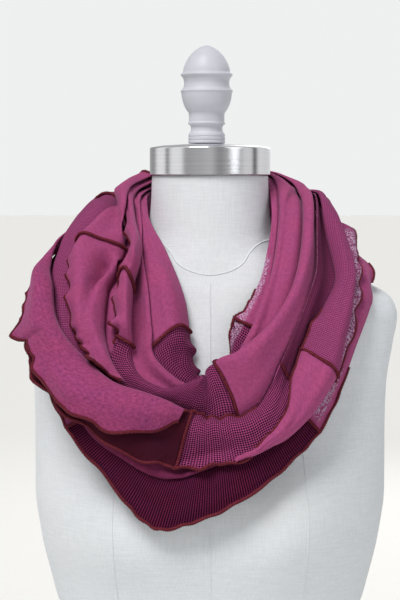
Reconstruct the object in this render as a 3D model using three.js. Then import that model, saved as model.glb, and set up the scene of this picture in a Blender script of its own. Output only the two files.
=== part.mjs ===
// An infinity scarf, looped twice round the neck of a limbless dress form.
// Millimetres. +Z is up, the front faces -Y, and +X is to the right of someone looking at the front.
// The origin is the centre of the form's flat base.
//
// The cloth is one long loop of knit panels. Worn double it lies in lengthwise folds, which fan out
// over the chest and shoulders and stack behind the neck. A surface carries the folds: SECTIONS says
// where the cloth begins at the neck and where it ends, going once round. Each fold says which share
// of that surface it covers and how far it stands up, and it lies on the folds laid before it.

import * as THREE from "three";

const CLOTH = {
  wall: 1.8, // a knit and what its serged seams add
  clear: 0.45, // air between one layer and the next
  seamGap: 0.3, // between two panels sewn end to end
};

// The form's half width, and its depth in front of and behind the neck's axis, by height.
const BODY_LEVELS = [
  { z: 0, half: 158, front: 104, back: 112 },
  { z: 14, half: 163, front: 107, back: 115 },
  { z: 60, half: 166, front: 106, back: 117 },
  { z: 120, half: 150, front: 96, back: 104 },
  { z: 180, half: 128, front: 86, back: 80 },
  { z: 220, half: 127, front: 90, back: 80 },
  { z: 270, half: 140, front: 102, back: 90 },
  { z: 320, half: 152, front: 112, back: 100 },
  { z: 360, half: 157, front: 110, back: 105 },
  { z: 410, half: 157, front: 98, back: 107 },
  { z: 450, half: 158, front: 86, back: 106 },
  { z: 490, half: 164, front: 75, back: 101 },
  { z: 515, half: 168, front: 68, back: 94 },
  { z: 530, half: 163, front: 64, back: 86 },
  { z: 542, half: 145, front: 61, back: 78 },
  { z: 552, half: 118, front: 58, back: 72 },
  { z: 562, half: 90, front: 56, back: 66 },
  { z: 573, half: 67, front: 54, back: 60 },
  { z: 590, half: 56, front: 52, back: 55 },
  { z: 615, half: 53, front: 51, back: 53 },
  { z: 640, half: 52, front: 51, back: 52 },
];
const BODY_SIDES = 32;
const BUST = { x: 74, z: 340, out: 15, wide: 44, tall: 50 };

const CAP = { r: 54, z: 640.3, tall: 25, dome: 3, sides: 36 };
const FINIAL = { x: -3, gap: 0.3, tall: 87.5, sides: 20 };
// The turned knob on the cap: its radius by the height over its foot.
const FINIAL_PROFILE = [
  { z: 0, r: 16.5 },
  { z: 7, r: 16.5 },
  { z: 9, r: 14.6 },
  { z: 13, r: 14.8 },
  { z: 16, r: 16.4 },
  { z: 26, r: 16.6 },
  { z: 32, r: 19.5 },
  { z: 40, r: 22 },
  { z: 48, r: 23.4 },
  { z: 50, r: 21.8 },
  { z: 57, r: 21.6 },
  { z: 60, r: 23.2 },
  { z: 63, r: 21.8 },
  { z: 69, r: 20.4 },
  { z: 76, r: 17.4 },
  { z: 82, r: 12.6 },
  { z: 86, r: 6.4 },
];

// The surface that carries the folds, once round from the front centre by way of the right shoulder.
// in is its edge at the neck, out its hem side, and belly how far its middle stands out.
const SECTIONS = [
  { place: "front centre", in: [10, -83, 464], out: [-22, -131, 345], belly: 8 },
  { place: "right of centre", in: [20, -82, 480], out: [43, -127, 381], belly: 9 },
  { place: "right chest", in: [27, -76, 512], out: [95, -106, 423], belly: 10 },
  { place: "right collarbone", in: [40, -67, 531], out: [128, -77, 490], belly: 10 },
  { place: "right shoulder", in: [50, -55, 560], out: [146, -30, 538], belly: 10 },
  { place: "right neck", in: [54, -25, 610], out: [120, 8, 566], belly: 8 },
  { place: "right nape", in: [44, 38, 643], out: [96, 84, 546], belly: 6 },
  { place: "back", in: [0, 58, 638], out: [0, 112, 536], belly: 6 },
  { place: "left nape", in: [-43, 41, 632], out: [-90, 86, 558], belly: 6 },
  { place: "left neck", in: [-55.2, -14, 606], out: [-104, 16, 580], belly: 8 },
  { place: "left shoulder", in: [-38, -53, 572], out: [-137, -16, 546], belly: 10 },
  { place: "left collarbone", in: [-23, -68, 534], out: [-154, -48, 526], belly: 12 },
  { place: "left chest", in: [-18, -76, 500], out: [-161, -72, 494], belly: 14 },
  { place: "left upper front", in: [-15, -80, 482], out: [-149, -92, 466], belly: 12 },
  { place: "left lower front", in: [-12, -82, 470], out: [-108, -117, 417], belly: 10 },
  { place: "left of centre", in: [-5, -83, 465], out: [-59, -128, 351], belly: 9 },
];
const ROUND = SECTIONS.length;
// How far each way along the scarf the direction of the folds' height is evened, in sections.
const SMOOTH_REACH = 1.4;

// The folds, from the one laid first. In a row, at counts the sections, from and to are shares of the
// section, and loft is how far the crest stands up. crest is where it lies across the fold. inner and
// outer say how round the two sides are: 0.6 rolls under, 1 lies open. ease is how much the fold
// bridges what is under it. A panel runs from its start to the next one's, and slant leans the seam.
// An open fold ends at its first and last rows.
const FOLDS = [
  {
    name: "neck fold",
    across: 5,
    crest: 0.55,
    inner: 0.7,
    outer: 0.45,
    ease: 0,
    rows: [
      { at: 0, from: 0, to: 0.1, loft: 4 },
      { at: 1, from: 0, to: 0.12, loft: 5 },
      { at: 1.4, from: -0.09, to: 0.18, loft: 8 },
      { at: 1.8, from: -0.04, to: 0.19, loft: 8 },
      { at: 2.2, from: -0.03, to: 0.17, loft: 7 },
      { at: 3, from: -0.04, to: 0.12, loft: 6 },
      { at: 4, from: -0.03, to: 0.06, loft: 4 },
      { at: 5, from: 0, to: 0.06, loft: 3 },
      { at: 6, from: 0, to: 0.35, loft: 3 },
      { at: 7, from: 0.1, to: 0.55, loft: 3 },
      { at: 8, from: 0.1, to: 0.6, loft: 3 },
      { at: 9, from: 0, to: 0.1, loft: 3 },
      { at: 10, from: 0, to: 0.2, loft: 8 },
      { at: 11, from: 0, to: 0.25, loft: 18 },
      { at: 12, from: 0, to: 0.26, loft: 18 },
      { at: 13, from: 0, to: 0.3, loft: 12 },
      { at: 14, from: 0, to: 0.26, loft: 7 },
      { at: 15, from: 0, to: 0.12, loft: 5 },
    ],
    panels: [
      { node: "neck_fold_jersey_right", slot: "jersey", start: 2.1, slant: 0.3, steps: 14 },
      { node: "neck_fold_jersey_back", slot: "jersey", start: 6.3, slant: 0, steps: 6 },
      { node: "neck_fold_jersey_left", slot: "jersey", start: 8, slant: 0, steps: 14 },
      { node: "neck_fold_waffle_front", slot: "waffle", start: 12.35, slant: 0.3, steps: 22 },
    ],
    hems: [
      { edge: "from", start: 12.6, end: 15, waves: 2, out: 2.5, sway: 3, deep: 12 },
      { edge: "from", start: 1, end: 2.6, waves: 1, out: 2.5, sway: 4, deep: 12 },
    ],
  },
  {
    name: "second fold",
    across: 5,
    crest: 0.5,
    inner: 0.6,
    outer: 0.6,
    ease: 0,
    rows: [
      { at: 0, from: 0.05, to: 0.14, loft: 5 },
      { at: 1, from: 0.08, to: 0.18, loft: 6 },
      { at: 1.5, from: 0.13, to: 0.28, loft: 10 },
      { at: 2, from: 0.14, to: 0.33, loft: 14 },
      { at: 3, from: 0.08, to: 0.34, loft: 15 },
      { at: 4, from: 0.04, to: 0.3, loft: 14 },
      { at: 5, from: 0.05, to: 0.34, loft: 12 },
      { at: 6, from: 0.03, to: 0.5, loft: 4 },
      { at: 7, from: 0.06, to: 0.6, loft: 3 },
      { at: 8, from: 0.06, to: 0.6, loft: 3 },
      { at: 9, from: 0.08, to: 0.2, loft: 2 },
      { at: 10, from: 0.17, to: 0.38, loft: 1 },
      { at: 11, from: 0.23, to: 0.52, loft: 1 },
      { at: 12, from: 0.24, to: 0.54, loft: 2 },
      { at: 13, from: 0.27, to: 0.52, loft: 5 },
      { at: 14, from: 0.21, to: 0.42, loft: 8 },
      { at: 14.5, from: 0.14, to: 0.24, loft: 7 },
      { at: 15, from: 0.07, to: 0.14, loft: 5 },
    ],
    panels: [
      { node: "second_fold_jersey_right", slot: "jersey", start: 0.4, slant: 0, steps: 20 },
      { node: "second_fold_jersey_back", slot: "jersey", start: 6.3, slant: 0, steps: 6 },
      { node: "second_fold_jersey_left", slot: "jersey", start: 8, slant: 0, steps: 26 },
    ],
    hems: [],
  },
  {
    name: "third fold",
    across: 6,
    crest: 0.32,
    inner: 0.55,
    outer: 0.85,
    ease: 4,
    rows: [
      { at: 0, from: 0.05, to: 0.44, loft: 21 },
      { at: 0.5, from: 0.04, to: 0.47, loft: 20 },
      { at: 1, from: 0.08, to: 0.5, loft: 18 },
      { at: 1.5, from: 0.18, to: 0.52, loft: 16 },
      { at: 2, from: 0.23, to: 0.52, loft: 16 },
      { at: 3, from: 0.28, to: 0.52, loft: 15 },
      { at: 4, from: 0.24, to: 0.42, loft: 14 },
      { at: 5, from: 0.25, to: 0.42, loft: 11 },
      { at: 6, from: 0.1, to: 0.62, loft: 4 },
      { at: 7, from: 0.02, to: 0.55, loft: 4 },
      { at: 8, from: 0.02, to: 0.45, loft: 4 },
      { at: 9, from: 0.16, to: 0.3, loft: 7 },
      { at: 10, from: 0.17, to: 0.26, loft: 13 },
      { at: 10.5, from: 0.23, to: 0.325, loft: 20 },
      { at: 11, from: 0.32, to: 0.42, loft: 24 },
      { at: 12, from: 0.35, to: 0.445, loft: 20 },
      { at: 12.5, from: 0.36, to: 0.46, loft: 8 },
      { at: 13, from: 0.4, to: 0.54, loft: 3 },
      { at: 13.5, from: 0.42, to: 0.62, loft: 7 },
      { at: 14, from: 0.36, to: 0.64, loft: 14 },
      { at: 14.5, from: 0.14, to: 0.58, loft: 18 },
      { at: 15, from: 0.06, to: 0.5, loft: 21 },
    ],
    panels: [
      { node: "third_fold_jersey_right", slot: "jersey", start: 0.87, slant: 0, steps: 18 },
      { node: "third_fold_jersey_back", slot: "jersey", start: 6.3, slant: 0, steps: 6 },
      { node: "third_fold_jersey_upper_left", slot: "jersey", start: 8, slant: 0, steps: 12 },
      { node: "third_fold_jersey_left", slot: "jersey", start: 10.9, slant: -0.2, steps: 9 },
      { node: "third_fold_waffle_front", slot: "waffle", start: 12.4, slant: -0.3, steps: 22 },
    ],
    hems: [
      { edge: "to", start: 9, end: 12.6, waves: 4, out: 5, sway: 3, deep: 9 },
    ],
  },
  {
    name: "outer loop, lowest fold",
    across: 6,
    crest: 0.35,
    inner: 0.7,
    outer: 1,
    ease: 4,
    rows: [
      { at: 0, from: 0.64, to: 1, loft: 6 },
      { at: 0.5, from: 0.68, to: 1.02, loft: 6 },
      { at: 1, from: 0.74, to: 1.03, loft: 6 },
      { at: 1.5, from: 0.78, to: 1, loft: 5 },
      { at: 2, from: 0.78, to: 0.98, loft: 5 },
      { at: 3, from: 0.76, to: 0.96, loft: 7 },
      { at: 4, from: 0.66, to: 0.95, loft: 9 },
      { at: 5, from: 0.66, to: 1, loft: 6 },
      { at: 6, from: 0.66, to: 1.06, loft: 4 },
      { at: 7, from: 0.66, to: 1.08, loft: 5 },
      { at: 8, from: 0.66, to: 1.04, loft: 5 },
      { at: 9, from: 0.8, to: 1.04, loft: 3 },
      { at: 10, from: 0.82, to: 1.03, loft: 3 },
      { at: 11, from: 0.8, to: 0.97, loft: 3 },
      { at: 12, from: 0.76, to: 0.93, loft: 3 },
      { at: 13, from: 0.78, to: 0.95, loft: 3 },
      { at: 13.6, from: 0.8, to: 1.02, loft: 4 },
      { at: 14, from: 0.8, to: 1.06, loft: 5 },
      { at: 14.5, from: 0.74, to: 1.01, loft: 5 },
      { at: 15, from: 0.64, to: 1, loft: 6 },
    ],
    panels: [
      { node: "lowest_fold_jersey_right", slot: "jersey", start: 1.9, slant: 0.1, steps: 14 },
      { node: "lowest_fold_jersey_back", slot: "jersey", start: 6, slant: 0, steps: 12 },
      { node: "lowest_fold_jersey_left", slot: "jersey", start: 9.6, slant: 0, steps: 13 },
      { node: "lowest_fold_waffle_front", slot: "waffle", start: 13.8, slant: 0, steps: 22 },
    ],
    hems: [
      { edge: "to", start: 15, end: 18.2, waves: 2, out: 1.2, sway: 1, deep: 14 },
      { edge: "to", start: 3.6, end: 6.4, waves: 2, out: 3, sway: 4, deep: 14 },
    ],
  },
  {
    name: "outer loop, knit fold",
    across: 6,
    crest: 0.45,
    inner: 0.6,
    outer: 0.7,
    ease: 2,
    rows: [
      { at: 0, from: 0.55, to: 0.67, loft: 2 },
      { at: 0.5, from: 0.56, to: 0.7, loft: 2 },
      { at: 1, from: 0.58, to: 0.77, loft: 3 },
      { at: 1.5, from: 0.6, to: 0.83, loft: 8 },
      { at: 2, from: 0.62, to: 0.84, loft: 8 },
      { at: 2.5, from: 0.62, to: 0.87, loft: 8 },
      { at: 3, from: 0.6, to: 0.85, loft: 8 },
      { at: 3.5, from: 0.57, to: 0.78, loft: 8 },
      { at: 4, from: 0.52, to: 0.73, loft: 8 },
      { at: 4.5, from: 0.5, to: 0.75, loft: 9 },
      { at: 5, from: 0.48, to: 0.77, loft: 10 },
      { at: 6, from: 0.5, to: 0.84, loft: 8 },
      { at: 7, from: 0.46, to: 0.86, loft: 10 },
      { at: 7.5, from: 0.42, to: 0.88, loft: 18 },
      { at: 8, from: 0.4, to: 0.92, loft: 28 },
      { at: 8.5, from: 0.41, to: 0.96, loft: 27 },
      { at: 9, from: 0.42, to: 1, loft: 24 },
      { at: 9.5, from: 0.46, to: 1.01, loft: 22 },
      { at: 10, from: 0.52, to: 0.96, loft: 16 },
      { at: 10.5, from: 0.56, to: 0.92, loft: 11 },
      { at: 11, from: 0.58, to: 0.85, loft: 9 },
      { at: 12, from: 0.57, to: 0.8, loft: 8 },
      { at: 13, from: 0.53, to: 0.77, loft: 4 },
      { at: 13.5, from: 0.56, to: 0.84, loft: 4 },
      { at: 14, from: 0.6, to: 0.94, loft: 4 },
      { at: 14.5, from: 0.62, to: 0.83, loft: 4 },
      { at: 15, from: 0.57, to: 0.73, loft: 2 },
      { at: 15.5, from: 0.55, to: 0.68, loft: 2 },
    ],
    panels: [
      { node: "knit_fold_rib_right", slot: "rib", start: 2.45, slant: 0, steps: 13 },
      { node: "knit_fold_rib_back", slot: "rib", start: 6, slant: 0, steps: 8 },
      { node: "knit_fold_rib_left", slot: "rib", start: 8.4, slant: 0, steps: 24 },
      { node: "knit_fold_jersey_front", slot: "jersey", start: 12.9, slant: 0, steps: 21 },
    ],
    hems: [
      { edge: "to", start: 4.3, end: 5.9, waves: 1, out: 4, sway: 2, deep: 14 },
    ],
  },
  {
    name: "outer loop, front fold",
    across: 6,
    crest: 0.34,
    inner: 0.8,
    outer: 0.65,
    ease: 5,
    rows: [
      { at: 0, from: 0.34, to: 0.645, loft: 10 },
      { at: 0.25, from: 0.37, to: 0.67, loft: 10 },
      { at: 0.5, from: 0.41, to: 0.71, loft: 10 },
      { at: 1, from: 0.5, to: 0.8, loft: 10 },
      { at: 1.3, from: 0.52, to: 0.79, loft: 7 },
      { at: 1.6, from: 0.5, to: 0.74, loft: 3 },
      { at: 2, from: 0.46, to: 0.65, loft: 0.5 },
      { at: 2.5, from: 0.44, to: 0.6, loft: 0.5 },
      { at: 3, from: 0.43, to: 0.6, loft: 1 },
      { at: 3.5, from: 0.4, to: 0.6, loft: 1 },
      { at: 4.5, from: 0.36, to: 0.54, loft: 1 },
      { at: 5.5, from: 0.42, to: 0.56, loft: 1 },
      { at: 6, from: 0.56, to: 0.7, loft: 2 },
      { at: 6.5, from: 0.68, to: 0.82, loft: 3 },
      { at: 7, from: 0.86, to: 0.96, loft: 3 },
      { at: 7.5, from: 0.94, to: 1.02, loft: 2 },
      { at: 8, from: 0.98, to: 1.05, loft: 1 },
      { at: 8.5, from: 1.02, to: 1.08, loft: 1 },
      { at: 9, from: 1.04, to: 1.09, loft: 1 },
      { at: 9.5, from: 1.02, to: 1.07, loft: 1 },
      { at: 10, from: 0.95, to: 1.03, loft: 2 },
      { at: 10.5, from: 0.89, to: 1.01, loft: 4 },
      { at: 11, from: 0.82, to: 0.98, loft: 6 },
      { at: 11.5, from: 0.79, to: 0.94, loft: 7 },
      { at: 12, from: 0.75, to: 0.93, loft: 8 },
      { at: 12.5, from: 0.7, to: 0.97, loft: 8 },
      { at: 13, from: 0.67, to: 1.01, loft: 8 },
      { at: 13.5, from: 0.62, to: 1, loft: 8 },
      { at: 14, from: 0.5, to: 0.93, loft: 8 },
      { at: 14.5, from: 0.4, to: 0.79, loft: 8 },
      { at: 15, from: 0.32, to: 0.65, loft: 9 },
      { at: 15.5, from: 0.3, to: 0.62, loft: 10 },
    ],
    panels: [
      { node: "front_fold_rib_right", slot: "rib", start: 2, slant: 0, steps: 14 },
      { node: "front_fold_jersey_back", slot: "jersey", start: 6, slant: 0, steps: 16 },
      { node: "front_fold_jersey_left", slot: "jersey", start: 9.3, slant: 0, steps: 36 },
      { node: "front_fold_waffle_right", slot: "waffle", start: 15.2, slant: 0.2, steps: 17 },
    ],
    hems: [
      { edge: "to", start: 11.5, end: 14.4, waves: 4, out: 3, sway: 4, deep: 16 },
      { edge: "to", start: 14.6, end: 17.4, waves: 3, out: 2, sway: 2, deep: 12 },
      { edge: "from", start: 15.1, end: 17, waves: 2, out: 2, sway: 1.5, deep: 10 },
    ],
  },
  {
    name: "outer loop, upper fold at the front",
    open: true,
    across: 6,
    crest: 0.4,
    inner: 0.5,
    outer: 0.7,
    ease: 0,
    rows: [
      { at: 16.7, from: 0.74, to: 0.76, loft: 1 },
      { at: 17, from: 0.765, to: 0.8, loft: 2 },
      { at: 17.25, from: 0.765, to: 0.82, loft: 3 },
      { at: 17.5, from: 0.73, to: 0.84, loft: 5 },
      { at: 18, from: 0.6, to: 0.84, loft: 8 },
      { at: 18.45, from: 0.545, to: 0.85, loft: 10 },
    ],
    panels: [
      { node: "upper_fold_jersey_front", slot: "jersey", start: 16.7, slant: 0, steps: 10 },
    ],
    hems: [],
  },
  {
    name: "turnover",
    open: true,
    across: 6,
    crest: 0.3,
    inner: 0.55,
    outer: 1,
    ease: 3,
    rows: [
      { at: 9.4, from: 0.98, to: 1.02, loft: 1 },
      { at: 9.7, from: 0.97, to: 1.05, loft: 3 },
      { at: 10, from: 0.93, to: 1.06, loft: 5 },
      { at: 10.5, from: 0.86, to: 1.07, loft: 8 },
      { at: 11, from: 0.8, to: 1.03, loft: 10 },
      { at: 11.5, from: 0.77, to: 1.02, loft: 11 },
      { at: 11.85, from: 0.745, to: 1.07, loft: 12 },
      { at: 12.05, from: 0.73, to: 1.04, loft: 12 },
      { at: 12.2, from: 0.72, to: 0.94, loft: 12 },
      { at: 12.5, from: 0.7, to: 0.94, loft: 12 },
      { at: 13, from: 0.655, to: 0.97, loft: 12 },
      { at: 13.5, from: 0.615, to: 0.98, loft: 12 },
      { at: 14, from: 0.49, to: 0.88, loft: 11 },
      { at: 14.5, from: 0.38, to: 0.6, loft: 8 },
      { at: 14.8, from: 0.35, to: 0.42, loft: 3 },
    ],
    panels: [
      { node: "front_fold_turnover", slot: "fleece", start: 9.4, slant: 0, steps: 34 },
    ],
    hems: [
      { edge: "to", start: 12.4, end: 14.8, waves: 3, out: 2.5, sway: 2.5, deep: 12 },
    ],
  },
  {
    name: "outer loop, upper fold",
    open: true,
    across: 6,
    crest: 0.5,
    inner: 0.6,
    outer: 0.7,
    ease: 2,
    rows: [
      { at: 2.45, from: 0.545, to: 0.85, loft: 10 },
      { at: 2.8, from: 0.535, to: 0.81, loft: 12 },
      { at: 3.1, from: 0.56, to: 0.78, loft: 13 },
      { at: 3.5, from: 0.56, to: 0.71, loft: 13 },
      { at: 4, from: 0.5, to: 0.65, loft: 12 },
      { at: 5, from: 0.42, to: 0.6, loft: 8 },
      { at: 6, from: 0.3, to: 0.56, loft: 6 },
      { at: 7, from: 0.08, to: 0.44, loft: 7 },
      { at: 8, from: 0, to: 0.36, loft: 5 },
      { at: 9, from: 0.2, to: 0.42, loft: 6 },
      { at: 9.5, from: 0.28, to: 0.53, loft: 9 },
      { at: 10, from: 0.32, to: 0.65, loft: 16 },
      { at: 10.5, from: 0.38, to: 0.71, loft: 17 },
      { at: 11, from: 0.48, to: 0.71, loft: 15 },
      { at: 12, from: 0.5, to: 0.665, loft: 14 },
      { at: 12.5, from: 0.51, to: 0.645, loft: 11 },
      { at: 13, from: 0.525, to: 0.635, loft: 8 },
      { at: 13.6, from: 0.54, to: 0.57, loft: 2 },
    ],
    panels: [
      { node: "upper_fold_rib_right", slot: "rib", start: 2.45, slant: 0, steps: 17 },
      { node: "upper_fold_jersey_back", slot: "jersey", start: 6.3, slant: 0, steps: 7 },
      { node: "upper_fold_jersey_upper_left", slot: "jersey", start: 8, slant: 0, steps: 10 },
      { node: "upper_fold_jersey_left", slot: "jersey", start: 9.95, slant: 0, steps: 26 },
    ],
    hems: [
      { edge: "to", start: 9.8, end: 13.6, waves: 6, out: 4, sway: 3, deep: 10 },
    ],
  },
];

const COLOURS = {
  jersey: 0xa64e7c,
  waffle: 0x6e2449,
  rib: 0x8d4470,
  fleece: 0xa5467b,
  linen: 0xe9e8e6,
  steel: 0xc4c6ca,
  painted: 0xc6c9d1,
};

// Heights over the carrying surface are kept on a raster of columns round and rows across.
const RASTER = { columns: 320, rows: 150, low: -0.12, high: 1.16, padRound: 2, padAcross: 2 };

function wrap(value, size) {
  return ((value % size) + size) % size;
}

function clamp(value, low, high) {
  return Math.min(high, Math.max(low, value));
}

// A smooth curve through a closed list of numbers.
function through(values, u) {
  const i = Math.floor(u);
  const f = u - i;
  const [a, b, c, d] = [-1, 0, 1, 2].map((k) => values[wrap(i + k, values.length)]);
  return b + 0.5 * f * (c - a + f * (2 * a - 5 * b + 4 * c - d + f * (3 * (b - c) + d - a)));
}

// A curve through one column of a fold's rows that never overshoots them.
function track(rows, key, open) {
  const x = rows.map((row) => row.at);
  const y = rows.map((row) => row[key]);
  const n = rows.length;
  const run = x.map((v, i) => (i < n - 1 ? x[i + 1] - v : x[0] + ROUND - v));
  const slope = y.map((v, i) => (y[(i + 1) % n] - v) / run[i]);
  const tangent = slope.map((after, i) => {
    if (open && (i === 0 || i === n - 1)) return 0;
    const before = slope[(i + n - 1) % n];
    return before * after <= 0 ? 0 : (2 * before * after) / (before + after);
  });
  return (u) => {
    const v = open ? clamp(u, x[0], x[n - 1]) : x[0] + wrap(u - x[0], ROUND);
    let i = n - 1;
    while (i > 0 && v < x[i]) i -= 1;
    if (open && i === n - 1) return y[i];
    const f = (v - x[i]) / run[i];
    const j = (i + 1) % n;
    const rise = f * f * (3 - 2 * f);
    return (
      y[i] * (1 - rise) +
      y[j] * rise +
      run[i] * f * (1 - f) * (tangent[i] * (1 - f) - tangent[j] * f)
    );
  };
}

const EDGES = { in: [], out: [] };
for (const side of ["in", "out"])
  for (let k = 0; k < 3; k += 1) EDGES[side].push(SECTIONS.map((s) => s[side][k]));
const BELLIES = SECTIONS.map((s) => s.belly);

function edgePoint(side, u) {
  return new THREE.Vector3(...EDGES[side].map((values) => through(values, u)));
}

function ruled(u, t) {
  return edgePoint("in", u).lerp(edgePoint("out", u), t);
}

// A point of the carrying surface, t across from the neck's edge.
function carrier(u, t) {
  const step = 0.02;
  const run = ruled(u + step, 0.5).sub(ruled(u - step, 0.5));
  const across = edgePoint("out", u).sub(edgePoint("in", u));
  const out = across.cross(run).normalize();
  const share = clamp(t, 0, 1);
  return ruled(u, t).addScaledVector(out, through(BELLIES, u) * 4 * share * (1 - share));
}

function carrierNormal(u, t) {
  const dt = 0.12;
  const run = carrier(u + SMOOTH_REACH, t).sub(carrier(u - SMOOTH_REACH, t));
  const across = carrier(u, t + dt).sub(carrier(u, t - dt));
  return across.cross(run).normalize();
}

function sectionLength(u) {
  return edgePoint("in", u).distanceTo(edgePoint("out", u));
}

// How high what is already laid stands over the carrying surface.
class Laid {
  constructor() {
    this.height = Array.from({ length: RASTER.columns }, () =>
      new Float64Array(RASTER.rows).fill(0),
    );
  }

  column(u) {
    return (wrap(u, ROUND) / ROUND) * RASTER.columns;
  }

  row(t) {
    return ((t - RASTER.low) / (RASTER.high - RASTER.low)) * (RASTER.rows - 1);
  }

  // The heights widened a little each way, so that a coarse fold laid on them stays clear.
  widened() {
    const wide = this.height.map((line, c) =>
      line.map((_, r) => {
        let top = 0;
        for (let i = -RASTER.padRound; i <= RASTER.padRound; i += 1)
          for (let j = -RASTER.padAcross; j <= RASTER.padAcross; j += 1)
            top = Math.max(
              top,
              this.height[wrap(c + i, RASTER.columns)][clamp(r + j, 0, RASTER.rows - 1)],
            );
        return top;
      }),
    );
    return (u, t) => {
      const c = this.column(u);
      const r = clamp(this.row(t), 0, RASTER.rows - 1.001);
      const c0 = Math.floor(c);
      const r0 = Math.floor(r);
      const [fc, fr] = [c - c0, r - r0];
      const at = (i, j) => wide[wrap(c0 + i, RASTER.columns)][r0 + j];
      return (
        (at(0, 0) * (1 - fr) + at(0, 1) * fr) * (1 - fc) +
        (at(1, 0) * (1 - fr) + at(1, 1) * fr) * fc
      );
    };
  }

  // Raises the heights to a fold's outer face, square by square of its grid.
  cover(grid, closed) {
    const last = grid.length - (closed ? 0 : 1);
    for (let i = 0; i < last; i += 1) {
      const [left, right] = [grid[i], grid[(i + 1) % grid.length]];
      for (let j = 0; j < left.length - 1; j += 1)
        this.coverSquare([left[j], right[j], right[j + 1], left[j + 1]]);
    }
  }

  coverSquare([a, b, c, d]) {
    const start = this.column(a.u);
    const place = (p) => start + (wrap(this.column(p.u) - start + 80, RASTER.columns) - 80);
    const [ca, cb, cc, cd] = [a, b, c, d].map(place);
    const [ra, rb, rc, rd] = [a, b, c, d].map((p) => this.row(p.t));
    const steps = {
      round: Math.ceil(2 * Math.max(Math.abs(cb - ca), Math.abs(cc - cd))) + 1,
      across: Math.ceil(2 * Math.max(Math.abs(rd - ra), Math.abs(rc - rb))) + 1,
    };
    for (let i = 0; i <= steps.round; i += 1)
      for (let j = 0; j <= steps.across; j += 1) {
        const [f, g] = [i / steps.round, j / steps.across];
        const mix = (p, q, r, s) => (p * (1 - f) + q * f) * (1 - g) + (s * (1 - f) + r * f) * g;
        const column = wrap(Math.round(mix(ca, cb, cc, cd)), RASTER.columns);
        const row = clamp(Math.round(mix(ra, rb, rc, rd)), 0, RASTER.rows - 1);
        const top = mix(a.top, b.top, c.top, d.top);
        if (top > this.height[column][row]) this.height[column][row] = top;
      }
  }
}

// The columns of a fold's grid: where each lies, how its seam leans, and which panel ends there.
function columnsOf(fold) {
  const columns = [];
  fold.panels.forEach((panel, k) => {
    const next = fold.panels[(k + 1) % fold.panels.length];
    const isLast = fold.open && k === fold.panels.length - 1;
    const end = isLast
      ? fold.rows[fold.rows.length - 1].at
      : panel.start + wrap(next.start - panel.start - 1e-9, ROUND) + 1e-9;
    const endSlant = isLast ? 0 : next.slant;
    const count = isLast ? panel.steps + 1 : panel.steps;
    for (let i = 0; i < count; i += 1) {
      const f = i / panel.steps;
      columns.push({
        u: panel.start + (end - panel.start) * f,
        slant: panel.slant * (1 - f) + endSlant * f,
      });
    }
  });
  return columns;
}

// Height across a fold: 0 at both edges and 1 at the crest.
function arch(v, fold) {
  const inside = v < fold.crest;
  const s = inside ? v / fold.crest : (1 - v) / (1 - fold.crest);
  return Math.pow(s * (2 - s), inside ? fold.inner : fold.outer);
}

// How far a hem's ruffle moves a point outwards and sideways.
function ruffle(fold, u, v, width) {
  const move = { out: 0, sway: 0 };
  for (const hem of fold.hems) {
    const along = wrap(u - hem.start, ROUND) / (hem.end - hem.start);
    const reach = 1 - ((hem.edge === "to" ? 1 - v : v) * width) / hem.deep;
    if (along > 1 || reach <= 0) continue;
    const fade = Math.min(1, along * 8, (1 - along) * 8) * reach * reach;
    const turn = 2 * Math.PI * hem.waves * (along + 0.03 * Math.sin(17 * along));
    move.out += hem.out * fade * (1 + Math.sin(turn));
    move.sway += hem.sway * fade * Math.sin(turn + 1.2);
  }
  return move;
}

// The grid of points down the middle of a fold's wall, laid on what is there already.
function foldGrid(fold, laid) {
  const rest = laid.widened();
  const [from, to, loft] = ["from", "to", "loft"].map((key) => track(fold.rows, key, fold.open));
  const grid = columnsOf(fold).map(({ u: middle, slant }) => {
    const line = [];
    for (let j = 0; j <= fold.across; j += 1) {
      const v = 0.5 * (1 - Math.cos((Math.PI * j) / fold.across));
      const u = middle + slant * (v - 0.5);
      const section = sectionLength(u);
      const [low, high] = [from(u), to(u)];
      const move = ruffle(fold, u, v, (high - low) * section);
      const t = low + (high - low) * v + move.sway / section;
      line.push({ u, v, t, out: move.out, base: rest(u, t), rest: rest(u, t) });
    }
    return line;
  });
  for (let k = 0; k < fold.ease; k += 1) settle(grid, fold.open);
  for (const line of grid)
    for (const p of line) {
      const rise = CLOTH.clear + CLOTH.wall / 2 + loft(p.u) * arch(p.v, fold) + p.out;
      p.over = p.rest + rise;
      p.normal = carrierNormal(p.u, p.t);
      p.point = carrier(p.u, p.t).addScaledVector(p.normal, p.over);
    }
  faceNormals(grid, fold.open);
  for (const line of grid)
    for (const p of line) {
      const square = Math.max(0.4, p.face.dot(p.normal));
      p.top = p.over + CLOTH.wall / 2 / square;
    }
  return grid;
}

// One pass of bridging: each point rises to the mean of those round it.
function settle(grid, open) {
  const before = grid.map((line) => line.map((p) => p.rest));
  const n = grid.length;
  grid.forEach((line, i) => {
    const [left, right] = open
      ? [Math.max(0, i - 1), Math.min(n - 1, i + 1)]
      : [wrap(i - 1, n), wrap(i + 1, n)];
    line.forEach((p, j) => {
      const [low, high] = [Math.max(0, j - 1), Math.min(line.length - 1, j + 1)];
      const mean = (before[left][j] + before[right][j] + before[i][low] + before[i][high]) / 4;
      p.rest = Math.max(p.base, mean);
    });
  });
}

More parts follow.
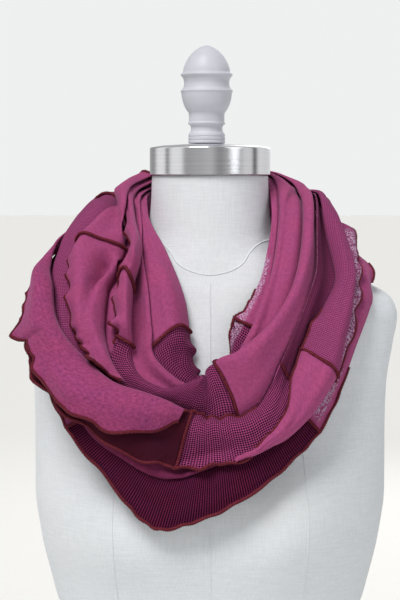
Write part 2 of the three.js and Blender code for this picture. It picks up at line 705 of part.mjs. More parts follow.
// The outward direction of the cloth at each point of a grid.
function faceNormals(grid, open) {
  const n = grid.length;
  grid.forEach((line, i) => {
    const [left, right] = open
      ? [grid[Math.max(0, i - 1)], grid[Math.min(n - 1, i + 1)]]
      : [grid[wrap(i - 1, n)], grid[wrap(i + 1, n)]];
    line.forEach((p, j) => {
      p.run = right[j].point.clone().sub(left[j].point).normalize();
      const low = line[Math.max(0, j - 1)].point;
      const high = line[Math.min(line.length - 1, j + 1)].point;
      p.face = high.clone().sub(low).cross(p.run).normalize();
    });
  });
}

// The closed wall of one panel: its outer face, its inner face, and the edges between them.
function panelGeometry(lines) {
  const across = lines[0].length;
  const corners = [];
  lines.forEach((line, i) => {
    const inset = i === 0 ? 1 : i === lines.length - 1 ? -1 : 0;
    for (const side of [1, -1])
      for (const p of line)
        corners.push(
          p.point
            .clone()
            .addScaledVector(p.run, (inset * CLOTH.seamGap) / 2)
            .addScaledVector(p.face, (side * CLOTH.wall) / 2),
        );
  });
  const at = (i, side, j) => (i * 2 + side) * across + j;
  const triangles = [];
  const square = (a, b, c, d) => triangles.push(a, b, c, a, c, d);
  for (let i = 0; i < lines.length - 1; i += 1) {
    for (let j = 0; j < across - 1; j += 1) {
      square(at(i, 0, j), at(i, 0, j + 1), at(i + 1, 0, j + 1), at(i + 1, 0, j));
      square(at(i, 1, j), at(i + 1, 1, j), at(i + 1, 1, j + 1), at(i, 1, j + 1));
    }
    const end = across - 1;
    square(at(i, 0, 0), at(i + 1, 0, 0), at(i + 1, 1, 0), at(i, 1, 0));
    square(at(i, 0, end), at(i, 1, end), at(i + 1, 1, end), at(i + 1, 0, end));
  }
  const last = lines.length - 1;
  for (let j = 0; j < across - 1; j += 1) {
    square(at(0, 0, j), at(0, 1, j), at(0, 1, j + 1), at(0, 0, j + 1));
    square(at(last, 0, j), at(last, 0, j + 1), at(last, 1, j + 1), at(last, 1, j));
  }
  return meshGeometry(corners, triangles);
}

function meshGeometry(corners, triangles) {
  const geometry = new THREE.BufferGeometry();
  geometry.setAttribute(
    "position",
    new THREE.Float32BufferAttribute(corners.flatMap((c) => [c.x, c.y, c.z]), 3),
  );
  geometry.setIndex(triangles);
  geometry.computeVertexNormals();
  return geometry;
}

function clothMaterial(slot) {
  return new THREE.MeshStandardMaterial({ color: COLOURS[slot], roughness: 0.9, metalness: 0 });
}

// The form's body: level outlines stacked up, with a soft bust, closed by two flat ends.
function bodyGeometry() {
  const corners = [];
  for (const level of BODY_LEVELS)
    for (let i = 0; i < BODY_SIDES; i += 1) {
      const angle = (2 * Math.PI * i) / BODY_SIDES;
      const x = level.half * Math.cos(angle);
      const depth = Math.sin(angle) < 0 ? level.front : level.back;
      const y = depth * Math.sin(angle);
      corners.push(new THREE.Vector3(x, y - (y < 0 ? bust(x, level.z) : 0), level.z));
    }
  const triangles = [];
  const at = (level, i) => level * BODY_SIDES + (i % BODY_SIDES);
  for (let level = 0; level < BODY_LEVELS.length - 1; level += 1)
    for (let i = 0; i < BODY_SIDES; i += 1) {
      const [a, b, c, d] = [at(level, i), at(level, i + 1), at(level + 1, i + 1), at(level + 1, i)];
      triangles.push(a, b, c, a, c, d);
    }
  const top = BODY_LEVELS.length - 1;
  for (let i = 1; i < BODY_SIDES - 1; i += 1) {
    triangles.push(at(0, 0), at(0, i + 1), at(0, i));
    triangles.push(at(top, 0), at(top, i), at(top, i + 1));
  }
  return meshGeometry(corners, triangles);
}

function bust(x, z) {
  const away = (Math.abs(x) - BUST.x) / BUST.wide;
  const above = (z - BUST.z) / BUST.tall;
  return BUST.out * Math.exp(-away * away - above * above);
}

// A solid turned about an upright axis from a profile of radius by height.
function turned(profile, sides) {
  const points = profile.map((p) => new THREE.Vector2(p.r, p.z));
  return new THREE.LatheGeometry(points, sides).rotateX(Math.PI / 2);
}

function build() {
  const group = new THREE.Group();
  const add = (name, geometry, material) => {
    const mesh = new THREE.Mesh(geometry, material);
    mesh.name = name;
    group.add(mesh);
    return mesh;
  };

  const linen = new THREE.MeshStandardMaterial({ color: COLOURS.linen, roughness: 0.85 });
  const steel = new THREE.MeshStandardMaterial({
    color: COLOURS.steel,
    roughness: 0.25,
    metalness: 1,
  });
  const painted = new THREE.MeshStandardMaterial({ color: COLOURS.painted, roughness: 0.45 });
  add("form_body", bodyGeometry(), linen);
  const cap = add(
    "neck_cap",
    turned(
      [
        { r: 0, z: 0 },
        { r: CAP.r, z: 0 },
        { r: CAP.r, z: CAP.tall - 1 },
        { r: CAP.r - 1, z: CAP.tall },
        { r: 18, z: CAP.tall + CAP.dome },
        { r: 0, z: CAP.tall + CAP.dome },
      ],
      CAP.sides,
    ),
    steel,
  );
  cap.position.z = CAP.z;
  const finial = add(
    "finial",
    turned([{ r: 0, z: 0 }, ...FINIAL_PROFILE, { r: 0, z: FINIAL.tall }], FINIAL.sides),
    painted,
  );
  finial.position.set(FINIAL.x, 0, CAP.z + CAP.tall + CAP.dome + FINIAL.gap);

  const laid = new Laid();
  for (const fold of FOLDS) {
    const grid = foldGrid(fold, laid);
    let first = 0;
    for (const panel of fold.panels) {
      const lines = [];
      for (let i = 0; i <= panel.steps; i += 1) lines.push(grid[(first + i) % grid.length]);
      add(panel.node, panelGeometry(lines), clothMaterial(panel.slot));
      first += panel.steps;
    }
    laid.cover(grid, !fold.open);
  }
  return group;
}

export default build();
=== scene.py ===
"""An infinity scarf of pieced knits, worn in two loops on a limbless dress form.

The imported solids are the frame. The cloth is laid again here with a finer hand: a carrying surface
goes once round the neck, and each lengthwise fold of the scarf is laid on the ones before it.
Lengths in the tables are millimetres. The front faces -Y and +Z is up.
"""

import math

import bpy
import numpy as np
from bpy.props import FloatProperty, FloatVectorProperty, IntProperty, PointerProperty
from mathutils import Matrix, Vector


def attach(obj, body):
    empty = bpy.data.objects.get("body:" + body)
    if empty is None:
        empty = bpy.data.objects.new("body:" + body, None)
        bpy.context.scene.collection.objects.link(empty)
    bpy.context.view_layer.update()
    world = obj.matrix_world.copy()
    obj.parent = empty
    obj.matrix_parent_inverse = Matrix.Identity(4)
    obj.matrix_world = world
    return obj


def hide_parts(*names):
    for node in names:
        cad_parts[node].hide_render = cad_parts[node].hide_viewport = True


bl_info = {
    "name": "Infinity Scarf on a Dress Form",
    "version": (1, 0, 0),
    "blender": (4, 5, 0),
    "location": "View3D > Sidebar > Scarf",
    "description": "Lays a pieced knit loop scarf in folds over a display dress form",
    "category": "Object",
}

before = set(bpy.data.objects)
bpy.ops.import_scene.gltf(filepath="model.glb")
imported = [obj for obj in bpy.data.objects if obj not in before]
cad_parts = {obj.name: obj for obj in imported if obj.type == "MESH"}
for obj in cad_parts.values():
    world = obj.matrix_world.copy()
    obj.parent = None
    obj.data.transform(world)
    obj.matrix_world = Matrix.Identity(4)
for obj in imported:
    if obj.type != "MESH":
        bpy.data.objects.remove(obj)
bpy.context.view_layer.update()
MM = 0.001
ROUND = 16
# How far each way along the scarf the direction of the folds' height is evened, in sections.
SMOOTH_REACH = 1.4

# The surface that carries the folds, once round from the front centre by way of the right shoulder.
# Each row has the edge at the neck, the edge at the hem side, and how far the middle stands out.
SECTIONS = [
    {"in": (10, -83, 464), "out": (-22, -131, 345), "belly": 8},
    {"in": (20, -82, 480), "out": (43, -127, 381), "belly": 9},
    {"in": (27, -76, 512), "out": (95, -106, 423), "belly": 10},
    {"in": (40, -67, 531), "out": (128, -77, 490), "belly": 10},
    {"in": (50, -55, 560), "out": (146, -30, 538), "belly": 10},
    {"in": (54, -25, 610), "out": (120, 8, 566), "belly": 8},
    {"in": (44, 38, 643), "out": (96, 84, 546), "belly": 6},
    {"in": (0, 58, 638), "out": (0, 112, 536), "belly": 6},
    {"in": (-43, 41, 632), "out": (-90, 86, 558), "belly": 6},
    {"in": (-55.2, -14, 606), "out": (-104, 16, 580), "belly": 8},
    {"in": (-38, -53, 572), "out": (-137, -16, 546), "belly": 10},
    {"in": (-23, -68, 534), "out": (-154, -48, 526), "belly": 12},
    {"in": (-18, -76, 500), "out": (-161, -72, 494), "belly": 14},
    {"in": (-15, -80, 482), "out": (-149, -92, 466), "belly": 12},
    {"in": (-12, -82, 470), "out": (-108, -117, 417), "belly": 10},
    {"in": (-5, -83, 465), "out": (-59, -128, 351), "belly": 9},
]

# The folds, from the one laid first. A row is: at which section, from and to as shares of the
# section, and how far the crest stands up. A panel is: its node, its cloth, where it starts, and how
# its seam leans and bows. A hem wave is: which edge, from, to, waves, outward, sideways, depth. A
# soft crease is: at, half length, place across, drift, height (a trough is negative), half width.
FOLDS = [
    {
        "name": "neck_fold",
        "crest": 0.55,
        "inner": 0.7,
        "outer": 0.45,
        "ease": 4,
        "rows": [
            (0, 0, 0.1, 4),
            (1, 0, 0.12, 5),
            (1.4, -0.09, 0.18, 8),
            (1.8, -0.04, 0.19, 8),
            (2.2, -0.03, 0.17, 7),
            (3, -0.04, 0.12, 6),
            (4, -0.03, 0.06, 4),
            (5, 0, 0.06, 3),
            (6, 0, 0.35, 3),
            (7, 0.1, 0.55, 3),
            (8, 0.1, 0.6, 3),
            (9, 0, 0.1, 3),
            (10, 0, 0.2, 8),
            (11, 0, 0.25, 18),
            (12, 0, 0.26, 18),
            (13, 0, 0.3, 12),
            (14, 0, 0.26, 7),
            (15, 0, 0.12, 5),
        ],
        "panels": [
            ("neck_fold_jersey_right", "jersey", 2.1, 0.3, 0),
            ("neck_fold_jersey_back", "jersey", 6.3, 0, 0),
            ("neck_fold_jersey_left", "jersey", 8, 0, 0),
            ("neck_fold_waffle_front", "waffle", 12.35, 1, -0.4),
        ],
        "hems": [
            ("from", 12, 15.6, 3, 2.5, 3, 12),
            ("from", 1, 2.6, 1, 2.5, 4, 12),
        ],
        "serged": [("from", 0.9, 3.4)],
        "creases": [
            (11.6, 0.7, 0.75, 0.02, -3, 4),
            (13.2, 0.6, 0.45, 0.1, -2.5, 5),
        ],
    },
    {
        "name": "second_fold",
        "crest": 0.5,
        "inner": 0.6,
        "outer": 0.6,
        "ease": 4,
        "rows": [
            (0, 0.05, 0.14, 5),
            (1, 0.08, 0.18, 6),
            (1.5, 0.13, 0.28, 10),
            (2, 0.14, 0.33, 14),
            (3, 0.08, 0.34, 15),
            (4, 0.04, 0.3, 14),
            (5, 0.05, 0.34, 12),
            (6, 0.03, 0.5, 4),
            (7, 0.06, 0.6, 3),
            (8, 0.06, 0.6, 3),
            (9, 0.08, 0.2, 2),
            (10, 0.17, 0.38, 1),
            (11, 0.23, 0.52, 1),
            (12, 0.24, 0.54, 2),
            (13, 0.27, 0.52, 5),
            (14, 0.21, 0.42, 8),
            (14.5, 0.14, 0.24, 7),
            (15, 0.07, 0.14, 5),
        ],
        "panels": [
            ("second_fold_jersey_right", "jersey", 0.4, 0, 0),
            ("second_fold_jersey_back", "jersey", 6.3, 0, 0),
            ("second_fold_jersey_left", "jersey", 8, 0, 0),
        ],
        "hems": [],
        "serged": [("to", 2.9, 4.6)],
        "creases": [
            (2.6, 0.7, 0.4, 0.05, -2.5, 5),
            (13.6, 0.5, 0.5, -0.1, -2, 5),
        ],
    },
    {
        "name": "third_fold",
        "crest": 0.32,
        "inner": 0.55,
        "outer": 0.85,
        "ease": 40,
        "rows": [
            (0, 0.05, 0.44, 21),
            (0.5, 0.04, 0.47, 20),
            (1, 0.08, 0.5, 18),
            (1.5, 0.18, 0.52, 16),
            (2, 0.23, 0.52, 16),
            (3, 0.28, 0.52, 15),
            (4, 0.24, 0.42, 14),
            (5, 0.25, 0.42, 11),
            (6, 0.1, 0.62, 4),
            (7, 0.02, 0.55, 4),
            (8, 0.02, 0.45, 4),
            (9, 0.16, 0.3, 7),
            (10, 0.17, 0.26, 13),
            (10.5, 0.23, 0.325, 20),
            (11, 0.32, 0.42, 24),
            (12, 0.35, 0.445, 20),
            (12.5, 0.36, 0.46, 8),
            (13, 0.4, 0.54, 3),
            (13.5, 0.42, 0.62, 7),
            (14, 0.36, 0.64, 14),
            (14.5, 0.14, 0.58, 18),
            (15, 0.06, 0.5, 21),
        ],
        "panels": [
            ("third_fold_jersey_right", "jersey", 0.87, 0, 0),
            ("third_fold_jersey_back", "jersey", 6.3, 0, 0),
            ("third_fold_jersey_upper_left", "jersey", 8, 0, 0),
            ("third_fold_jersey_left", "jersey", 10.9, -0.25, -0.15),
            ("third_fold_waffle_front", "waffle", 12.4, -0.4, 0),
        ],
        "hems": [("to", 9, 12.6, 5, 6, 3.5, 10)],
        "serged": [("to", 9, 12.7), ("to", 3, 4.7)],
        "creases": [
            (15, 1.6, 0.7, 0.02, -3, 7),
            (15.2, 1.1, 0.34, 0, 4, 8),
            (15.2, 1.1, 0.62, 0, -5, 8),
        ],
    },
    {
        "name": "lowest_fold",
        "crest": 0.35,
        "inner": 0.7,
        "outer": 1,
        "ease": 40,
        "rows": [
            (0, 0.64, 1, 6),
            (0.5, 0.68, 1.02, 6),
            (1, 0.74, 1.03, 6),
            (1.5, 0.78, 1, 5),
            (2, 0.78, 0.98, 5),
            (3, 0.76, 0.96, 7),
            (4, 0.66, 0.95, 9),
            (5, 0.66, 1, 6),
            (6, 0.66, 1.06, 4),
            (7, 0.66, 1.08, 5),
            (8, 0.66, 1.04, 5),
            (9, 0.8, 1.04, 3),
            (10, 0.82, 1.03, 3),
            (11, 0.8, 0.97, 3),
            (12, 0.76, 0.93, 3),
            (13, 0.78, 0.95, 3),
            (13.6, 0.8, 1.02, 4),
            (14, 0.8, 1.06, 5),
            (14.5, 0.74, 1.01, 5),
            (15, 0.64, 1, 6),
        ],
        "panels": [
            ("lowest_fold_jersey_right", "jersey", 1.9, 0.1, 0),
            ("lowest_fold_jersey_back", "jersey", 6, 0, 0),
            ("lowest_fold_jersey_left", "jersey", 9.6, 0, 0),
            ("lowest_fold_waffle_front", "ribbed", 13.8, 0, 0),
        ],
        "hems": [
            ("to", 15, 18.2, 2, 1.2, 1, 14),
            ("to", 3.6, 6.4, 4, 3, 4, 14),
        ],
        "serged": [("to", 5.4, 18.7), ("to", 4.1, 4.45)],
        "creases": [
            (14.3, 0.6, 0.45, 0.25, 6, 7),
            (14.7, 0.7, 0.62, 0.25, -5, 6),
        ],
    },
    {
        "name": "knit_fold",
        "crest": 0.45,
        "inner": 0.6,
        "outer": 0.7,
        "ease": 24,
        "rows": [
            (0, 0.55, 0.67, 2),
            (0.5, 0.56, 0.7, 2),
            (1, 0.58, 0.77, 3),
            (1.5, 0.6, 0.83, 8),
            (2, 0.62, 0.84, 8),
            (2.5, 0.62, 0.87, 8),
            (3, 0.6, 0.85, 8),
            (3.5, 0.57, 0.78, 8),
            (4, 0.52, 0.73, 8),
            (4.5, 0.5, 0.75, 9),
            (5, 0.48, 0.77, 10),
            (6, 0.5, 0.84, 8),
            (7, 0.46, 0.86, 10),
            (7.5, 0.42, 0.88, 18),
            (8, 0.4, 0.92, 28),
            (8.5, 0.41, 0.96, 27),
            (9, 0.42, 1, 24),
            (9.5, 0.46, 1.01, 22),
            (10, 0.52, 0.96, 16),
            (10.5, 0.56, 0.92, 11),
            (11, 0.58, 0.85, 9),
            (12, 0.57, 0.8, 8),
            (13, 0.53, 0.77, 4),
            (13.5, 0.56, 0.84, 4),
            (14, 0.6, 0.94, 4),
            (14.5, 0.62, 0.83, 4),
            (15, 0.57, 0.73, 2),
            (15.5, 0.55, 0.68, 2),
        ],
        "panels": [
            ("knit_fold_rib_right", "rib", 2.45, 0, 0),
            ("knit_fold_rib_back", "rib", 6, 0, 0),
            ("knit_fold_rib_left", "rib", 8.4, 0, 0),
            # The front panel is jersey drawn with a darkened copy of its colour: painted shadow for the
            # band under the front fold's overhanging hem.
            ("knit_fold_jersey_front", "wine_jersey", 12.9, 0, 0),
        ],
        "hems": [("to", 4.3, 5.9, 1, 4, 2, 14), ("to", 2.5, 4.4, 4, 2, 2, 8)],
        "serged": [("to", 2.5, 5.6)],
        "creases": [],
    },
    {
        "name": "front_fold",
        "crest": 0.34,
        "inner": 0.8,
        "outer": 0.65,
        "ease": 60,
        "rows": [
            (0, 0.34, 0.645, 10),
            (0.25, 0.37, 0.67, 10),
            (0.5, 0.41, 0.71, 10),
            (1, 0.5, 0.8, 10),
            (1.3, 0.52, 0.79, 7),
            (1.6, 0.5, 0.74, 3),
            (2, 0.46, 0.65, 0.5),
            (2.5, 0.44, 0.6, 0.5),
            (3, 0.43, 0.6, 1),
            (3.5, 0.4, 0.6, 1),
            (4.5, 0.34, 0.54, 1),
            (5.5, 0.36, 0.58, 1),
            (6, 0.5, 0.72, 2),
            (6.5, 0.68, 0.82, 3),
            (7, 0.86, 0.96, 3),
            (7.5, 0.94, 1.02, 2),
            (8, 0.98, 1.05, 1),
            (8.5, 1.02, 1.08, 1),
            (9, 1.04, 1.09, 1),
            (9.5, 1.02, 1.07, 1),
            (10, 0.95, 1.03, 2),
            (10.5, 0.89, 1.01, 4),
            (11, 0.82, 0.98, 6),
            (11.5, 0.79, 0.94, 7),
            (12, 0.75, 0.93, 8),
            (12.5, 0.7, 0.97, 8),
            (13, 0.67, 1.01, 8),
            (13.5, 0.62, 1, 8),
            (14, 0.5, 0.93, 8),
            (14.5, 0.4, 0.79, 8),
            (15, 0.32, 0.65, 9),
            (15.5, 0.3, 0.62, 10),
        ],
        "panels": [
            # The right front panel is rib drawn with a darkened copy of its colour: painted shade for
            # the deep valley this part of the front fold lies in.
            ("front_fold_rib_right", "deep_rib", 2, 0, 0),
            ("front_fold_jersey_back", "jersey", 6, 0, 0),
            # The left front panel is jersey drawn with a near-black copy of its colour: painted shade
            # for where this part of the front fold lies in shadow.
            ("front_fold_jersey_left", "dark_jersey", 9.3, 0, 0),
            ("front_fold_waffle_right", "waffle", 15.2, 0.2, 0),
        ],
        "hems": [
            ("to", 11.5, 14.4, 4, 3, 4, 16),
            ("to", 14.6, 17.4, 4, 2, 2, 12),
            ("from", 15, 17, 4, 1.6, 1.8, 9),
        ],
        "serged": [("from", 14.5, 17.3), ("to", 10.2, 17.5)],
        "creases": [
            (0.3, 1, 0.3, 0, 5, 11),
            (0.3, 1, 0.8, 0, -9, 11),
            (14.2, 0.7, 0.45, 0.1, -3, 6),
        ],
    },
    {
        "name": "upper_front",
        "open": True,
        "joined": 0.35,
        "crest": 0.4,
        "inner": 0.5,
        "outer": 0.7,
        "ease": 24,
        "rows": [
            (16.7, 0.74, 0.76, 1),
            (17, 0.765, 0.8, 2),
            (17.25, 0.765, 0.82, 3),
            (17.5, 0.73, 0.84, 5),
            (18, 0.6, 0.84, 8),
            (18.45, 0.545, 0.85, 10),
        ],
        "panels": [("upper_fold_jersey_front", "jersey", 16.7, 0, 0)],
        "hems": [("from", 16.9, 18.4, 2, 1, 2, 8)],
        "serged": [("from", 17, 18.45)],
        "creases": [],
    },
    {
        "name": "turnover",
        "open": True,
        "tuck": 0.6,
        "crest": 0.3,
        "inner": 0.55,
        "outer": 1,
        "ease": 60,
        "rows": [
            (9.4, 0.95, 1.02, 1),
            (9.7, 0.92, 1.05, 3),
            (10, 0.88, 1.06, 5),
            (10.5, 0.84, 1.07, 8),
            (11, 0.8, 1.03, 10),
            (11.5, 0.77, 1.02, 11),
            (11.85, 0.745, 1.07, 12),
            (12.05, 0.73, 1.04, 12),
            (12.2, 0.72, 0.94, 12),
            (12.5, 0.7, 0.94, 12),
            (13, 0.655, 0.97, 12),
            (13.5, 0.615, 0.98, 12),
            (14, 0.49, 0.88, 11),
            (14.5, 0.38, 0.6, 8),
            (14.8, 0.35, 0.42, 3),
        ],
        "panels": [("front_fold_turnover", "fleece", 9.4, 0, 0)],
        "hems": [("to", 12.4, 14.8, 4, 2.5, 2.5, 12)],
        "serged": [("to", 9.5, 14.8)],
        "creases": [
            (12.4, 0.7, 0.55, 0.02, -3, 9),
            (13.4, 0.5, 0.7, 0.05, 2.5, 8),
        ],
    },
    {
        "name": "upper_fold",
        "open": True,
        "crest": 0.5,
        "inner": 0.6,
        "outer": 0.7,
        "ease": 24,
        "rows": [
            (2.45, 0.545, 0.85, 10),
            (2.8, 0.535, 0.81, 12),
            (3.1, 0.56, 0.78, 13),
            (3.5, 0.56, 0.71, 13),
            (4, 0.5, 0.65, 12),
            (5, 0.42, 0.6, 8),
            (6, 0.3, 0.56, 6),
            (7, 0.08, 0.44, 7),
            (8, 0, 0.36, 5),
            (9, 0.2, 0.42, 6),
            (9.5, 0.28, 0.53, 9),
            (10, 0.32, 0.65, 16),
            (10.5, 0.38, 0.71, 17),
            (11, 0.48, 0.71, 15),
            (12, 0.5, 0.665, 14),
            (12.5, 0.51, 0.645, 11),
            (13, 0.525, 0.635, 8),
            (13.6, 0.54, 0.57, 2),
        ],
        "panels": [
            ("upper_fold_rib_right", "rib", 2.45, 0, 0),
            ("upper_fold_jersey_back", "jersey", 6.3, 0, 0),
            ("upper_fold_jersey_upper_left", "jersey", 8, 0, 0),
            ("upper_fold_jersey_left", "jersey", 9.95, 0, 0),
        ],
        "hems": [("to", 9.8, 13.6, 8, 2.2, 1.8, 8)],
        "serged": [("from", 2.45, 3.15), ("to", 9.7, 13.6)],
        "creases": [
            (10.5, 0.28, 0.3, 0.12, -15, 5.5),
            (10.35, 0.25, 0.5, 0.1, 3, 6),
            (10.95, 0.45, 0.36, 0.12, -11, 3.2),
            (11, 0.4, 0.5, 0.12, 3, 4),
            (10.2, 0.4, 0.72, 0, 2.5, 6),
            (12, 0.9, 0.6, 0.05, -2.5, 4),
        ],
    },
]

# Where the heathered reverse of the cloth faces out: fold, section from and to, share from and to.
REVERSE = [
    ("neck_fold", 1.2, 4.2, -0.1, 0.4),
    ("knit_fold", 2.6, 4.7, 0.62, 1.1),
    ("lowest_fold", 1.95, 2.7, -0.1, 0.75),
]

# The form's half width and its depth before and behind the neck's axis, by height.
BODY_LEVELS = [
    (0, 158, 104, 112),
    (14, 163, 107, 115),
    (60, 166, 106, 117),
    (120, 150, 96, 104),
    (180, 128, 86, 80),
    (220, 127, 90, 80),
    (270, 140, 102, 90),
    (320, 152, 112, 100),
    (360, 157, 110, 105),
    (410, 157, 98, 107),
    (450, 158, 86, 106),
    (490, 164, 75, 101),
    (515, 168, 68, 94),
    (530, 163, 64, 86),
    (542, 145, 61, 78),
    (552, 118, 58, 72),
    (562, 90, 56, 66),
    (573, 67, 54, 60),
    (590, 56, 52, 55),
    (615, 53, 51, 53),
    (640, 52, 51, 52),
]
BUST = {"x": 74, "z": 340, "out": 15, "wide": 44, "tall": 50}
CAP = {"r": 54, "z": 640.3, "tall": 25, "dome": 3}
FINIAL = {"x": -3, "z": 668.6, "tall": 87.5}
# The turned knob on the cap: the height over its foot, and its radius.
FINIAL_PROFILE = [
    (0, 15.6),
    (0.8, 16.6),
    (2.4, 16.4),
    (3, 16),
    (3.6, 16.5),
    (5.4, 16.4),
    (6, 16),
    (6.6, 16.4),
    (8.4, 16.1),
    (11, 14.4),
    (14, 14.1),
    (16.5, 15.2),
    (17.4, 16.6),
    (18.4, 16.6),
    (19.4, 16),
    (24, 15.9),
    (27, 16.2),
    (30, 18.2),
    (35, 20.6),
    (41, 22.2),
    (45.5, 22.9),
    (46.6, 23.4),
    (47.6, 22.8),
    (50, 20.9),
    (54, 20.2),
    (58, 21),
    (60.4, 22.9),
    (61.4, 23.3),
    (62.4, 22.6),
    (63.4, 21.4),
    (67, 20.7),
    (72, 18.8),
    (77, 15.9),
    (81, 12.4),
    (84.4, 8.2),
    (86.6, 4),
]


class ScarfCloth(bpy.types.PropertyGroup):
    """How the cloth lies and how fine its mesh is."""

    wall: FloatProperty(
        name="Cloth thickness",
        description="Thickness of a knit layer",
        default=1.3 * MM,
        unit="LENGTH",
    )
    stack: FloatProperty(
        name="Layer height",
        description="Height that one layer adds to the layers laid on it",
        default=1.8 * MM,
        unit="LENGTH",
    )
    clear: FloatProperty(
        name="Air between layers",
        description="Space that one layer leaves over the one below",
        default=0.45 * MM,
        unit="LENGTH",
    )
    spacing: FloatProperty(
        name="Mesh spacing",
        description="Length of a mesh square along the cloth",
        default=1.5 * MM,
        unit="LENGTH",
    )
    across: IntProperty(
        name="Rows across a fold",
        description="Mesh squares from one side of a fold to the other",
        default=22,
    )
    ripple: FloatProperty(
        name="Soft ripple",
        description="Height of the small uneven ripples along each fold",
        default=0.7 * MM,
        unit="LENGTH",
    )
    lettuce: FloatProperty(
        name="Lettuce edge",
        description="Height of the fine waves that the serging leaves in a hem",
        default=1 * MM,
        unit="LENGTH",
    )


class ScarfColours(bpy.types.PropertyGroup):
    """The colours of the knits and of the thread."""

    reverse_light: FloatVectorProperty(
        name="Reverse flecks",
        description="Pale flecks of the heathered reverse",
        subtype="COLOR",
        default=(0.47, 0.33, 0.47),
    )
    thread: FloatVectorProperty(
        name="Serging thread",
        description="Thread of the seams and hems",
        subtype="COLOR",
        default=(0.095, 0.008, 0.017),
    )


class SergedEdge(bpy.types.PropertyGroup):
    """The overlocked edge that binds every seam and hem."""

    roll: FloatProperty(
        name="Roll radius",
        description="Radius of the rolled edge inside the thread",
        default=1.3 * MM,
        unit="LENGTH",
    )
    thread: FloatProperty(
        name="Thread radius",
        description="Radius of one turn of thread",
        default=0.42 * MM,
        unit="LENGTH",
    )
    pitch: FloatProperty(
        name="Stitch pitch",
        description="Distance from one turn of thread to the next",
        default=1.7 * MM,
        unit="LENGTH",
    )
    lean: FloatProperty(
        name="Stitch lean",
        description="How far a turn of thread leans along the edge",
        default=math.radians(28),
        subtype="ANGLE",
    )


class DressForm(bpy.types.PropertyGroup):
    """The linen torso, its metal cap and its painted finial."""

    sides: IntProperty(
        name="Torso columns", description="Mesh columns round the torso", default=200
    )
    rows: IntProperty(
        name="Torso rows", description="Mesh rows up the torso", default=190
    )
    linen: FloatVectorProperty(
        name="Linen",
        description="Cover of the torso",
        subtype="COLOR",
        default=(0.75, 0.78, 0.82),
    )
    steel: FloatVectorProperty(
        name="Metal cap",
        description="Spun metal of the neck cap",
        subtype="COLOR",
        default=(0.72, 0.72, 0.73),
    )
    paint: FloatVectorProperty(
        name="Finial paint",
        description="Satin paint of the finial",
        subtype="COLOR",
        default=(0.56, 0.57, 0.63),
    )


class Studio(bpy.types.PropertyGroup):
    """The camera, the floor and the light."""

    distance: FloatProperty(
        name="Camera distance",
        description="Distance from the camera to the neck",
        default=1.8,
        unit="LENGTH",
    )
    pitch: FloatProperty(
        name="Camera pitch",
        description="How far the camera looks down",
        default=math.radians(3),
        subtype="ANGLE",
    )
    key: FloatProperty(
        name="Key light", description="Strength of the large soft light", default=2.75
    )
    fill: FloatProperty(
        name="Fill light", description="Power of the light from the right in watts", default=7
    )
    back: FloatProperty(
        name="Back light", description="Power of the light behind in watts", default=9
    )
    sky: FloatProperty(
        name="Room light", description="Strength of the pale room", default=0.27
    )


def through(values, u):
    """A smooth curve through a closed table: values by section, u of any shape."""
    i = np.floor(u).astype(int)
    f = (u - i)[..., None]
    a, b, c, d = (values[(i + k) % len(values)] for k in (-1, 0, 1, 2))
    return b + 0.5 * f * (c - a + f * (2 * a - 5 * b + 4 * c - d + f * (3 * (b - c) + d - a)))


def track(rows, column, is_open):
    """A curve through one column of a fold's rows that never overshoots them."""
    x = np.array([row[0] for row in rows], float)
    y = np.array([row[column] for row in rows], float)
    run = np.append(np.diff(x), x[0] + ROUND - x[-1])
    slope = (np.roll(y, -1) - y) / run
    before = np.roll(slope, 1)
    product = before * slope
    total = before + slope
    safe = np.where(np.abs(total) < 1e-12, 1, total)
    tangent = np.where(product > 0, 2 * product / safe, 0)
    if is_open:
        tangent[[0, -1]] = 0

    def at(u):
        v = np.clip(u, x[0], x[-1]) if is_open else x[0] + (u - x[0]) % ROUND
        i = np.clip(np.searchsorted(x, v, side="right") - 1, 0, len(x) - 1)
        if is_open:
            i = np.minimum(i, len(x) - 2)
        j = (i + 1) % len(x)
        f = (v - x[i]) / run[i]
        rise = f * f * (3 - 2 * f)
        bend = run[i] * f * (1 - f) * (tangent[i] * (1 - f) - tangent[j] * f)
        return y[i] * (1 - rise) + y[j] * rise + bend

    return at


EDGE_IN = np.array([s["in"] for s in SECTIONS], float)
EDGE_OUT = np.array([s["out"] for s in SECTIONS], float)
BELLY = np.array([[s["belly"]] for s in SECTIONS], float)


def unit(vectors):
    return vectors / np.maximum(np.linalg.norm(vectors, axis=-1, keepdims=True), 1e-9)


def ruled(u, t):
    low, high = through(EDGE_IN, u), through(EDGE_OUT, u)
    return low + (high - low) * t[..., None]


def carrier(u, t):
    """A point of the carrying surface, t across from the neck's edge."""
    half = np.full_like(t, 0.5)
    run = ruled(u + 0.02, half) - ruled(u - 0.02, half)
    out = unit(np.cross(through(EDGE_OUT, u) - through(EDGE_IN, u), run))
    share = np.clip(t, 0, 1)[..., None]
    return ruled(u, t) + out * through(BELLY, u) * 4 * share * (1 - share)


def carrier_normal(u, t):
    run = carrier(u + SMOOTH_REACH, t) - carrier(u - SMOOTH_REACH, t)
    across = carrier(u, t + 0.12) - carrier(u, t - 0.12)
    return unit(np.cross(across, run))


def section_length(u):
    return np.linalg.norm(through(EDGE_OUT, u) - through(EDGE_IN, u), axis=-1)


